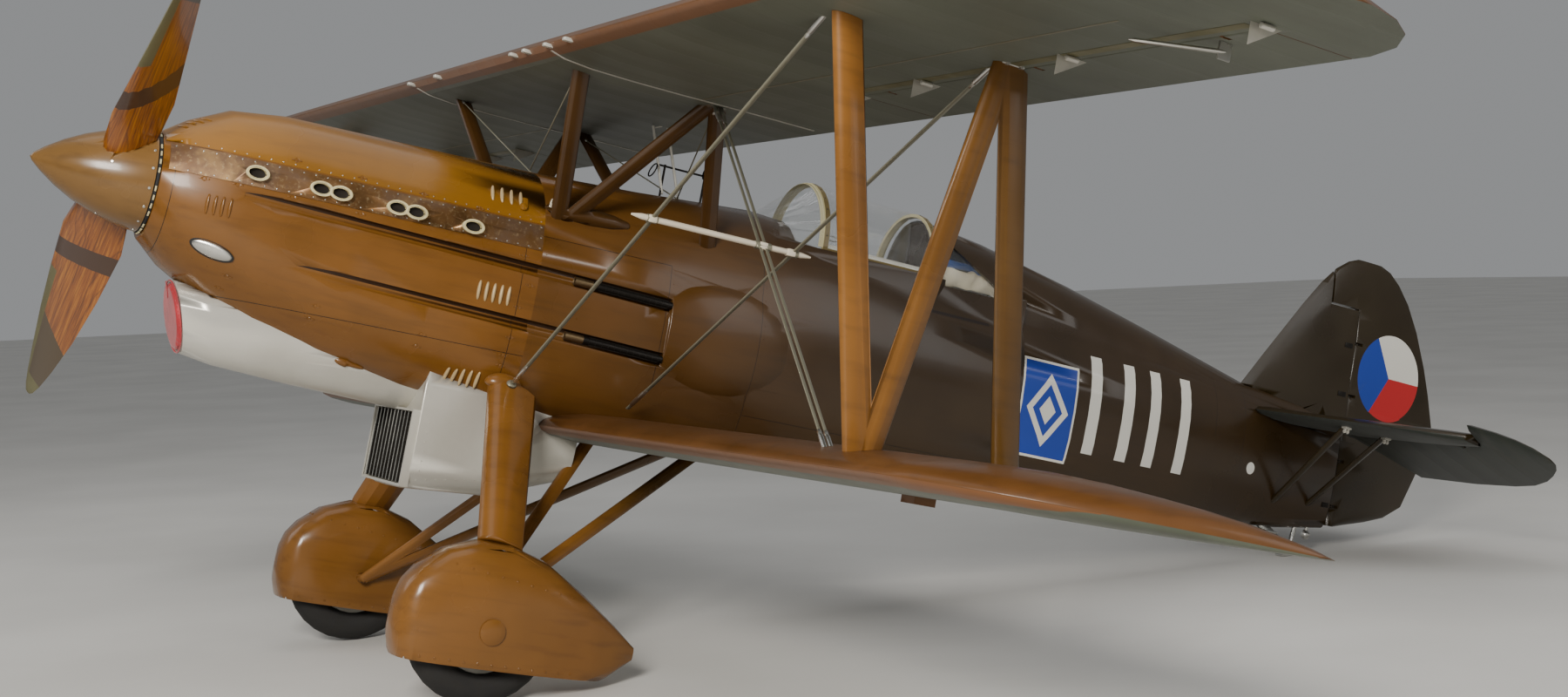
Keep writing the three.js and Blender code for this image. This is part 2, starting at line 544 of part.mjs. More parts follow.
const bay = join(
  strut(over(BAY.footX, BAY.footFront), under(BAY.x, BAY.front), BAY.chord, BAY.thick),
  strut(over(BAY.footX, BAY.footFront + 20), under(BAY.x, BAY.rear - 20), BAY.chord * 0.85, BAY.thick),
  strut(over(BAY.footX, BAY.footRear), under(BAY.x, BAY.rear), BAY.chord, BAY.thick));
addPair("interplane_struts",
  bay.subtract(upperTrim).subtract(lowerTrim).subtract(aileronNose(CLEAR + 2)), "brown");

const wheelX = WHEEL.track / 2;
const legSolid = (grow) =>
  strut([400, 2130, -590], [wheelX - 5, 2010, -1250], 235, 120, 205, 105, grow);

// Taut wires of one side with the rod that holds their crossing.

const flyFoot = (y) => [446, y, -572];
const flyHead = (dy) => [BAY.x - 70, UPPER.y + dy, UPPER.z - 20];
const landHead = (d) => [CABANE.x - 10, UPPER.y + CABANE.rear + d, UPPER.z - 20];
const landFoot = (d) => [BAY.footX - 156, LOWER.y + BAY.footFront + d, LOWER.z + 20];
const along = (a, b, t) => a.map((c, i) => c + (b[i] - c) * t);
const wireRuns = [
  [flyFoot(2120), flyHead(BAY.front), 0.503, 22, 10],
  [flyFoot(2700), flyHead(BAY.rear), 0.503, 22, 10],
  [landHead(-14), landFoot(-14), 0.457, 16, 8],
  [landHead(14), landFoot(14), 0.457, 16, 8],
];
const clamps = wireRuns.map(([a, b, t]) => along(a, b, t));
const rodEnd = (k, out) => [clamps[k][0], clamps[k][1] + out, clamps[k][2]];
const wires = join(
  wireRuns.map(([a, b, , chord, thick]) => strut(a, b, chord, thick)),
  clamps.map(([x, y, z]) => bar([x, y - 22, z], [x, y + 22, z], 17, 17, 8)),
  bar(rodEnd(0, -40), rodEnd(1, 45), 12, 12, 8),
  ball(...flyFoot(2120), 27));
addPair("stays", wires.subtract(wholeHull(SEAM)).subtract(upperTrim).subtract(lowerTrim)
  .subtract(legSolid(SEAM)).subtract(bay).subtract(cabane), "steel");

const tailStruts = [
  { name: "front", foot: [20, 6905, -470], head: [540, 6990, TAIL.z] },
  { name: "rear", foot: [20, 7210, -392], head: [560, 7285, TAIL.z] },
];
for (const { name, foot, head } of tailStruts)
  addPair("tail_strut_" + name, strut(foot, head, 50, 22)
    .subtract(tailWhole(SEAM)).subtract(wholeHull(SEAM)), "brown");

// Cockpit

add("instrument_panel",
  hull(HULL, 3440, 3500, -25).intersect(box(-500, 500, 3000, 3600, 20, 334)), "gunmetal");
add("seat", join(box(-200, 200, 3900, 4260, -330, -300), box(-200, 200, 4235, 4262, -330, 250),
  box(-200, -180, 3950, 4260, -330, -120), box(180, 200, 3950, 4260, -330, -120),
  box(-30, 30, 4000, 4200, cabin.floor + SEAM, -320)), "leather");
add("control_column", join(bar([0, 3700, cabin.floor + 8], [0, 3760, -60], 14),
  box(-30, 30, 3670, 3730, cabin.floor + SEAM, cabin.floor + 14),
  bar([-60, 3760, -66], [60, 3760, -66], 13)), "gunmetal");
add("stowed_cloth", box(-200, 200, 4400, 4780, 331, 420), "cloth");

const GLASS = [
  { y: 3400, half: 285, top: 520, mid: 400, low: 250, round: 2.1, belly: 2 },
  { y: 3640, half: 290, top: 730, mid: 400, low: 250, round: 2.1, belly: 2 },
  { y: 4310, half: 290, top: 712, mid: 400, low: 250, round: 2.1, belly: 2 },
];
const shell = (from, to, outer, inner, foot = SILL + SEAM) => hull(GLASS, from, to, outer)
  .subtract(hull(GLASS, from - 20, to + 20, inner)).intersect(box(-500, 500, from, to, foot, 900));
const windowPane = plate([[4373, 353], [4817, 353], [4373, 608]], 10, 400)
  .intersect(hull(DECK, 4330, 4890, -2).subtract(hull(DECK, 4330, 4890, -8)));
addPair("side_window", windowPane, "glass");
add("gunsight", join(
  bar([0, 3080, 480], [0, 3080, 640], 6, 6, 6), bar([0, 2860, 440], [0, 2860, 640], 6, 6, 6),
  bar([0, 2830, 632], [0, 3110, 632], 5, 5, 6), bar([0, 3076, 640], [0, 3084, 640], 26))
  .subtract(wholeHull(SEAM)), "gunmetal");
add("windscreen", largest(shell(3400, 3630, 0, -6).subtract(wholeHull(SEAM))), "glass");
add("canopy_glass", shell(3669.5, 4280.5, 0, -6, 395), "glass");
add("canopy_frame", join(shell(3642, 3669, 3, -14), shell(4281, 4310, 3, -14),
  box(276, 291, 3642, 4310, SILL + SEAM, 394.5), box(-291, -276, 3642, 4310, SILL + SEAM, 394.5)), "brown");

// Guns, radiator, undercarriage

for (const g of GUNS)
  addPair("gun_" + g.name, bar(gunLine(g, GUN.muzzle), gunLine(g, GUN.back - SEAM), GUN.barrel), "gunmetal");

const RADIATOR = [
  { y: 1790, half: 300, top: -500, mid: -640, low: -1110, round: 8, belly: 7 },
  { y: 2200, half: 300, top: -500, mid: -640, low: -1085, round: 8, belly: 6 },
  { y: 2560, half: 270, top: -500, mid: -640, low: -960, round: 8, belly: 5 },
];
const radiator = hull(RADIATOR, 1790, 2560, 0).subtract(wholeHull(SEAM)).subtract(ductSolid(SEAM))
  .subtract(lowerTrim).subtract(mirror(lowerTrim))
  .intersect(box(-400, 400, 1700, 2700, -1300, -500));
add("radiator", largest(radiator), "silver");

const SPAT_ROWS = [
  { y: 1612, half: 24, top: -1560, mid: -1600, low: -1640 },
  { y: 1622, half: 70, top: -1500, mid: -1600, low: -1700 },
  { y: 1645, half: 110, top: -1440, mid: -1600, low: -1760 },
  { y: 1690, half: 134, top: -1380, mid: -1600, low: -1820 },
  { y: 1790, half: 150, top: -1295, mid: -1600, low: -1880 },
  { y: 1920, half: 157, top: -1243, mid: -1600, low: -1920 },
  { y: 2060, half: 157, top: -1243, mid: -1600, low: -1920 },
  { y: 2230, half: 150, top: -1290, mid: -1605, low: -1900 },
  { y: 2420, half: 118, top: -1400, mid: -1615, low: -1850 },
  { y: 2600, half: 66, top: -1518, mid: -1625, low: -1750 },
  { y: 2720, half: 14, top: -1603, mid: -1630, low: -1660 },
].map((row) => ({ ...row, round: 3.2, belly: 3.2 }));
const atWheel = (solid) => solid.translate([wheelX, 0, 0]);
const wellHalf = WHEEL.width / 2 + 14;
const wellRadius = WHEEL.radius + 12;
const wheelWell = join(
  bar([-wellHalf, WHEEL.y, WHEEL.z], [wellHalf, WHEEL.y, WHEEL.z], wellRadius, wellRadius, 40),
  box(-wellHalf, wellHalf, WHEEL.y - wellRadius, WHEEL.y + wellRadius, WHEEL.z - 500, WHEEL.z));
const spatFull = (grow) => atWheel(hull(SPAT_ROWS, SPAT_ROWS[0].y, 2720, grow, 20));
const AXLE = 24;
const axleWay = bar([-200, WHEEL.y, WHEEL.z], [121, WHEEL.y, WHEEL.z], AXLE + SEAM * 1.5);
const spat = spatFull(0).intersect(box(500, 1300, 1500, 2900, -1762, -1000))
  .subtract(atWheel(wheelWell)).subtract(atWheel(axleWay));
addPair("spat", largest(spat), "brown");
addPair("gear_leg", legSolid(0).subtract(wholeHull(SEAM)).subtract(spatFull(SEAM))
  .subtract(hull(RADIATOR, 1790, 2560, SEAM)), "brown");
const hubEnd = [wheelX - 190, WHEEL.y, WHEEL.z];
const axle = join(
  bar([wheelX - 200, WHEEL.y, WHEEL.z], [wheelX + 120.3, WHEEL.y, WHEEL.z], AXLE),
  strut(hubEnd, [110, 2700, -700], 60, 34), strut(hubEnd, [130, 3250, -700], 60, 34));
addPair("half_axle",
  axle.subtract(wholeHull(SEAM)).subtract(hull(RADIATOR, 1790, 2560, SEAM)), "brown");

function turned(profile, sides) {
  const g = new THREE.LatheGeometry(profile.map(([r, h]) => new THREE.Vector2(r, h)), sides);
  g.rotateZ(-Math.PI / 2).rotateX(PARKED_PITCH);
  return solidOf(g.translate(wheelX, WHEEL.y, WHEEL.z));
}
const w2 = WHEEL.width / 2;
const outline = (half) => [...half, ...half.map(([r, h]) => [r, -h]).reverse()];
const tyre = outline([[WHEEL.hub + 40, -48], [WHEEL.hub + 62, 8 - w2], [WHEEL.hub + 105, -w2],
  [WHEEL.radius - 30, -w2 * 0.8], [WHEEL.radius - 6, -w2 * 0.42], [WHEEL.radius, -1]]);
addPair("tyre", turned([...tyre, tyre[0]], 28), "rubber");
const rim = outline([
  [WHEEL.bore, -70], [52, -70], [60, -40], [WHEEL.hub + 34, -58], [WHEEL.hub + 39.6, -47]]);
addPair("wheel_hub", turned([...rim, rim[0]], 28), "silver");

const floorAt = (y) => WHEEL.z
  + ((y - WHEEL.y) * Math.sin(PARKED_PITCH) - WHEEL.radius) / Math.cos(PARKED_PITCH);
const shoeY = 7190;
const shoe = turnAbout(box(-32, 32, shoeY - 60, shoeY + 60, floorAt(shoeY), floorAt(shoeY) + 14),
  [0, shoeY, floorAt(shoeY)], [1, 0, 0], THREE.MathUtils.radToDeg(PARKED_PITCH));
const skid = join(strut([0, 6900, -480], [0, shoeY - 10, -642], 60, 40), shoe,
  strut([0, 7215, -450], [0, shoeY, -642], 36, 30));
add("tail_skid", skid.subtract(wholeHull(SEAM)), "steel");

// Propeller

const BLADE = [
  { y: 60, chord: 150, thick: 124 }, { y: 220, chord: 232, thick: 92 },
  { y: 400, chord: 290, thick: 60 }, { y: 700, chord: 284, thick: 42 },
  { y: 1000, chord: 250, thick: 30 }, { y: 1250, chord: 182, thick: 21 },
  { y: 1400, chord: 122, thick: 15 }, { y: 1480, chord: 72, thick: 11 }, { y: 1510, chord: 34, thick: 8 },
];
function blade(grow) {
  const rings = BLADE.map((b) => {
    const a = Math.atan(PROP.pitch / (2 * Math.PI * b.y));
    return foil(7).map(([s, w]) => {
      const [c, t] = [(s - 0.45) * (b.chord + 2 * grow), w * (b.thick + 2 * grow)];
      return new THREE.Vector3(
        c * Math.cos(a) + t * Math.sin(a), PROP.y + c * Math.sin(a) - t * Math.cos(a), b.y);
    });
  });
  return loft(rings);
}
const turnProp = (solid) => turnAbout(solid, [0, PROP.y, 0], [0, 1, 0], 180 - PROP.turn);
const bladesOf = (grow) => {
  const one = mirror(blade(grow));
  const hub = bar(
    [0, PROP.y - 70 - grow, 0], [0, PROP.y + 70 + grow, 0], PROP.hub + grow, PROP.hub + grow, 20);
  return join(one, turnAbout(one, [0, PROP.y, 0], [0, 1, 0], 180), hub);
};
const shaft = (grow) => bar([0, PROP.y, 0], [0, 740, 0], PROP.shaft + grow, PROP.shaft + grow, 20);
add("propeller", turnProp(join(bladesOf(0), shaft(0))), "wood");
const spinnerProfile = [[0, 0], [18, 12], [51, 50], [100, 120], [144, 200], [181, 290], [205, 370], [217, 440],
  [SPINNER.radius, SPINNER.length], [0, SPINNER.length]];
const spinnerSolid = solidOf(new THREE.LatheGeometry(
  spinnerProfile.map(([r, h]) => new THREE.Vector2(r, h)), 28))
  .subtract(turnProp(bladesOf(SEAM))).subtract(shaft(0.6));
add("spinner", largest(spinnerSolid), "brown");

// Places of the joints and rests, in the level axes.
export const marks = {
  pad: [[BAY.footX, padY, LOWER.z - 66], [0, 0, -1]],
  shoe: [[0, shoeY, floorAt(shoeY)], [0, 0, -1]],
  prop: [[0, PROP.y, 0], [0, 1, 0]],
  wheel: [[wheelX, WHEEL.y, WHEEL.z], [1, 0, 0]],
  aileron: [aileronAxis(AILERON.in), aileronAxis(AILERON.out)],
  elevator: [[0, TAIL.hinge, TAIL.z], [1, 0, 0]],
  rudder: [[0, FIN.hinge, 0], [0, 0, 1]],
};

// Park it: nose up, resting on the floor, with the origin under the middle of its box.

group.rotation.x = -PARKED_PITCH;
group.position.z = SPINNER_TIP_HEIGHT;
group.updateMatrixWorld(true);
const bounds = new THREE.Box3().setFromObject(group, true);
const middle = bounds.getCenter(new THREE.Vector3());
group.position.x -= middle.x;
group.position.y -= middle.y;
group.position.z -= bounds.min.z;

export default group;
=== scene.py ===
"""The looks of a parked single-seat biplane of the 1930s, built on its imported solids.

New pieces are modelled in the level axes of the aircraft, in metres: x to port, u aft from
the tip of the spinner and h above the thrust line. They are set nose-up when they are finished.
"""

import json
import logging
import math
from dataclasses import dataclass
from enum import Enum
from typing import Callable, Iterable, Sequence

import bmesh
import bpy
from mathutils import Matrix, Vector
from mathutils.bvhtree import BVHTree

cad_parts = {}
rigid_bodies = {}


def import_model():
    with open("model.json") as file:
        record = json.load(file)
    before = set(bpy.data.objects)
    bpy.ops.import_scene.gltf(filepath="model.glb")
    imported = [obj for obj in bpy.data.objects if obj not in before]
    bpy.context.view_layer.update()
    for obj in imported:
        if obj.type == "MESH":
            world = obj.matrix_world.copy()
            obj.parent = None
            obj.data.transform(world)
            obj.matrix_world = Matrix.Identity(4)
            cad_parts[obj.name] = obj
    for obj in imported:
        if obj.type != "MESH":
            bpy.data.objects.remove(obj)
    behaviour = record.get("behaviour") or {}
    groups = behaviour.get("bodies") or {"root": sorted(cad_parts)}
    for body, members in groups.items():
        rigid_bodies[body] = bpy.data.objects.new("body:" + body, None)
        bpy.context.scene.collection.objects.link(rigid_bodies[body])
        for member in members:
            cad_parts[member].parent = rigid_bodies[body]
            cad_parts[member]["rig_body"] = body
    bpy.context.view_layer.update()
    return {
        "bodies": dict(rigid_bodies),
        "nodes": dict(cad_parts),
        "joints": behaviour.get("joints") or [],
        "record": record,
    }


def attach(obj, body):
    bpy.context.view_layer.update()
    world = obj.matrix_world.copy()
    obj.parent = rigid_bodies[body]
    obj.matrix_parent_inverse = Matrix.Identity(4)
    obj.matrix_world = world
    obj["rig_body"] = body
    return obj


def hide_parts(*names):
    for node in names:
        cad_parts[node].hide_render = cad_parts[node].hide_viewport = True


log = logging.getLogger("biplane")

PARKED_PITCH = math.radians(13.87)
NOSE = Vector((0.0, -3.99487, 2.36262))
LEVEL = Matrix.Translation(NOSE) @ Matrix.Rotation(-PARKED_PITCH, 4, "X")
TO_LEVEL = LEVEL.inverted()
BLADE_TURN = math.radians(49.2)
AIRFRAME = "airframe"
SIDES = {"left": 1.0, "right": -1.0}
BOTH = (1, -1)

Piece = bpy.types.Object
Look = bpy.types.Material
Socket = bpy.types.NodeSocket
Test = Callable[[Vector, Vector], bool]
Step = tuple[Callable, dict]
Point = Sequence[float]


def linear(code: str) -> tuple[float, float, float, float]:
    """Turns an sRGB hex colour into the linear colour of a socket.

    Args:
        code: Six hex digits, such as "7a4a20".

    Returns:
        Red, green, blue and an alpha of one.
    """
    values = [int(code[i : i + 2], 16) / 255 for i in (0, 2, 4)]
    curve = [v / 12.92 if v <= 0.04045 else ((v + 0.055) / 1.055) ** 2.4 for v in values]
    return (*curve, 1.0)


def read_off(rows: Sequence[tuple[float, float]], where: float) -> float:
    """The value that a table of rising places gives between two of its rows."""
    (a, p), (b, q) = next(pair for pair in zip(rows, rows[1:]) if where <= pair[1][0])
    return p + (q - p) * (where - a) / (b - a)


# Modelling


class Blank(Enum):
    """The primitive that a piece starts from."""

    BLOCK = "primitive_cube_add"
    BAR = "primitive_cylinder_add"
    BALL = "primitive_uv_sphere_add"
    RING = "primitive_torus_add"
    SHEET = "primitive_grid_add"
    CONE = "primitive_cone_add"


class Part(Enum):
    """The elements of a mesh that a test is asked about."""

    FACES = "FACE"
    EDGES = "EDGE"
    POINTS = "VERT"


def pick(*pieces: Piece) -> None:
    """Selects only these pieces and makes the first one active.

    Args:
        pieces: The pieces.
    """
    bpy.ops.object.select_all(action="DESELECT")
    for piece in pieces:
        piece.select_set(True)
    bpy.context.view_layer.objects.active = pieces[0]


def blank(kind: Blank, place: Point = (0, 0, 0), size: Point = (1, 1, 1), turn: Point = (0, 0, 0),
          **options: float | str) -> Piece:
    """Starts a piece from a primitive.

    Args:
        kind: The primitive.
        place: Its middle.
        size: Its scale along its own axes, before it is turned.
        turn: Its rotation in degrees.
        options: Further settings of the primitive's operator.

    Returns:
        The new object, with its size and turn in its mesh.
    """
    bpy.ops.object.select_all(action="DESELECT")
    getattr(bpy.ops.mesh, kind.value)(**options)
    piece = bpy.context.object
    piece.scale = size
    piece.rotation_euler = [math.radians(a) for a in turn]
    piece.location = place
    bpy.ops.object.transform_apply(location=True, rotation=True, scale=True)
    return piece


def ball(size: Point, place: Point = (0, 0, 0), sides: int = 24, rings: int = 12) -> Piece:
    """Starts a piece from a ball of three half sizes."""
    return blank(Blank.BALL, place, size, segments=sides, ring_count=rings, radius=1)


def hoop(place: Point, size: Point, turn: Point, radius: float, tube: float, sides: int = 24,
         facets: int = 8) -> Piece:
    """Starts a piece from a ring.

    Args:
        place: Its middle.
        size: Its scale along its own axes, before it is turned.
        turn: Its rotation in degrees.
        radius: From its middle to the middle of its tube.
        tube: The radius of its tube.
        sides: Facets round the ring.
        facets: Facets round the tube.

    Returns:
        The ring.
    """
    return blank(Blank.RING, place, size, turn, major_radius=radius, minor_radius=tube,
                 major_segments=sides, minor_segments=facets)


def shape(piece: Piece, where: Test | None, *steps: Step, part: Part = Part.FACES) -> Piece:
    """Runs edit-mode operators in turn on the part of a piece that a test accepts.

    Args:
        piece: The piece to shape.
        where: Takes the middle of a face, edge or point and its normal; None takes all.
        steps: Operators with their settings.
        part: What the test is asked about.

    Returns:
        The piece.
    """
    pick(piece)
    bpy.ops.object.mode_set(mode="EDIT")
    bpy.ops.mesh.select_mode(type=part.value)
    bpy.ops.mesh.select_all(action="SELECT" if where is None else "DESELECT")
    if where is not None:
        mesh = bmesh.from_edit_mesh(piece.data)
        mesh.normal_update()
        if part is Part.FACES:
            for face in mesh.faces:
                face.select_set(where(face.calc_center_median(), face.normal))
        elif part is Part.EDGES:
            for edge in mesh.edges:
                a, b = (v.co for v in edge.verts)
                edge.select_set(where((a + b) / 2, (b - a).normalized()))
        else:
            for vert in mesh.verts:
                vert.select_set(where(vert.co, vert.normal))
        bmesh.update_edit_mesh(piece.data)
    for work, settings in steps:
        work(**settings)
    bpy.ops.object.mode_set(mode="OBJECT")
    return piece


def facing(axis: str, least: float = 0.9) -> Test:
    """The test for faces that look one way.

    Args:
        axis: "+z", "-y" and so on, or "x" for both ways along x.
        least: The least share of the normal along that axis.

    Returns:
        The test.
    """
    index, sign = "xyz".index(axis[-1]), -1 if axis[0] == "-" else 1
    if len(axis) == 1:
        return lambda middle, normal: abs(normal[index]) > least
    return lambda middle, normal: normal[index] * sign > least


def inset(thickness: float, each: bool = False) -> Step:
    """The step that insets the chosen faces, each by itself or as one patch."""
    return bpy.ops.mesh.inset, {"thickness": thickness, "use_individual": each}


def push(distance: float) -> Step:
    """The step that moves the chosen faces outward along their normals."""
    return bpy.ops.transform.shrink_fatten, {"value": distance}


def extrude(distance: float) -> Step:
    """The step that extrudes the chosen faces outward."""
    return (bpy.ops.mesh.extrude_region_shrink_fatten,
            {"TRANSFORM_OT_shrink_fatten": {"value": distance}})


def bevel(offset: float, segments: int = 1) -> Step:
    """The step that bevels the chosen edges."""
    return bpy.ops.mesh.bevel, {"offset": offset, "segments": segments}


def spread(x: float, y: float, z: float, about: Point = (0, 0, 0)) -> Step:
    """The step that scales what is chosen about a point."""
    return bpy.ops.transform.resize, {"value": (x, y, z), "center_override": about}


def divide(cuts: int) -> Step:
    """The step that divides the chosen faces."""
    return bpy.ops.mesh.subdivide, {"number_cuts": cuts}


def slice_off(place: Point, normal: Point, inner: bool) -> Step:
    """The step that cuts along a plane and drops what is behind it (inner) or ahead of it."""
    return bpy.ops.mesh.bisect, {"plane_co": place, "plane_no": normal, "clear_inner": inner,
                                 "clear_outer": not inner}


def modify(piece: Piece, kind: str, **settings: object) -> Piece:
    """Adds a modifier to a piece and applies it.

    Args:
        piece: The piece.
        kind: The modifier's type, such as "BEVEL".
        settings: Its settings.

    Returns:
        The piece.
    """
    pick(piece)
    bpy.ops.object.modifier_add(type=kind)
    made = piece.modifiers[-1]
    for key, value in settings.items():
        setattr(made, key, value)
    bpy.ops.object.modifier_apply(modifier=made.name)
    return piece


def join(pieces: Sequence[Piece]) -> Piece:
    """Joins pieces into the first of them.

    Args:
        pieces: At least one piece.

    Returns:
        The joined piece.
    """
    pick(*pieces)
    if len(pieces) > 1:
        bpy.ops.object.join()
    return pieces[0]


def copy_at(piece: Piece, place: Matrix) -> Piece:
    """Copies a piece with its own mesh.

    Args:
        piece: The piece, which stays.
        place: The matrix that moves the copy.

    Returns:
        The copy.
    """
    twin = piece.copy()
    twin.data = piece.data.copy()
    twin.data.transform(place)
    if place.determinant() < 0:
        twin.data.flip_normals()
    bpy.context.scene.collection.objects.link(twin)
    return twin


def stamp(piece: Piece, places: Iterable[Matrix]) -> Piece:
    """Copies a piece to each place, joins the copies and drops the first one.

    Args:
        piece: The piece, modelled at the origin.
        places: A matrix for each copy.

    Returns:
        All copies as one object.
    """
    made = join([copy_at(piece, place) for place in places])
    bpy.data.objects.remove(piece)
    return made


def at(x: float, u: float, h: float) -> Matrix:
    """The matrix that moves a piece to a place."""
    return Matrix.Translation((x, u, h))


def port_and_starboard(piece: Piece) -> Piece:
    """Adds the mirror image of a piece to it."""
    return join([piece, copy_at(piece, Matrix.Diagonal((-1, 1, 1, 1)))])


def smooth(piece: Piece, angle: float) -> None:
    """Shades a piece smooth where its faces meet at less than an angle in degrees."""
    pick(piece)
    bpy.ops.object.shade_smooth_by_angle(angle=math.radians(angle))


def finish(piece: Piece, name: str, look: Look, body: str = AIRFRAME,
           angle: float = 35) -> Piece:
    """Sets a new piece nose-up, names and dresses it, and lets it ride on a body.

    Args:
        piece: The piece in level axes.
        name: Its name in the model.
        look: Its material.
        body: The body that carries it.
        angle: Edges sharper than this stay hard, in degrees.

    Returns:
        The piece.
    """
    piece.name = piece.data.name = name
    piece.data.materials.clear()
    piece.data.materials.append(look)
    smooth(piece, angle)
    piece.data.transform(LEVEL)
    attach(piece, body)
    log.info("%s: %d faces", name, len(piece.data.polygons))
    return piece


class Surface:
    """The outside of some solids, in level axes, for setting details on it."""

    def __init__(self, *nodes: str) -> None:
        """Reads the meshes of some solids.

        Args:
            nodes: The names of the solids.
        """
        self.points, self.faces = [], []
        for name in nodes:
            mesh = bpy.data.objects[name].data
            first = len(self.points)
            self.points += [TO_LEVEL @ v.co for v in mesh.vertices]
            self.faces += [[first + i for i in p.vertices] for p in mesh.polygons]
        self.tree = BVHTree.FromPolygons(self.points, self.faces)

    def spot(self, start: Point, toward: Point) -> Matrix:
        """The place on the surface that a line meets, its z outward and its x aft.

        Args:
            start: A point outside.
            toward: The direction of the line.

        Returns:
            The place as a matrix.
        """
        hit, normal, _, _ = self.tree.ray_cast(Vector(start), Vector(toward))
        if hit is None:
            raise ValueError(f"nothing to sit on from {tuple(start)} towards {tuple(toward)}")
        if normal.dot(Vector(toward)) > 0:
            normal = -normal
        aft = Vector((0, 1, 0)) if abs(normal.y) < 0.9 else Vector((1, 0, 0))
        along = (aft - normal * aft.dot(normal)).normalized()
        place = Matrix((along, normal.cross(along), normal)).transposed().to_4x4()
        place.translation = hit
        return place

    def shell(self) -> Piece:
        """The surface as a mesh for modifiers to aim at, to be removed after use.

        Returns:
            The mesh object.
        """
        mesh = bpy.data.meshes.new("shell")
        mesh.from_pydata(self.points, [], self.faces)
        shell = bpy.data.objects.new("shell", mesh)
        bpy.context.scene.collection.objects.link(shell)
        return shell

    def side(self, u: float, h: float, sign: float = 1.0) -> Matrix:
        """The place on the port (1) or starboard (-1) side."""
        return self.spot((3 * sign, u, h), (-sign, 0, 0))

    def both(self, spots: Iterable[Point]) -> list[Matrix]:
        """The places on both sides at each u and h."""
        return [self.side(u, h, sign) for u, h in spots for sign in BOTH]

    def under(self, x: float, u: float) -> Matrix:
        """The place on the underside."""
        return self.spot((x, u, -4), (0, 0, 1))

    def above(self, x: float, u: float) -> Matrix:
        """The place on top."""
        return self.spot((x, u, 4), (0, 0, -1))


# Materials


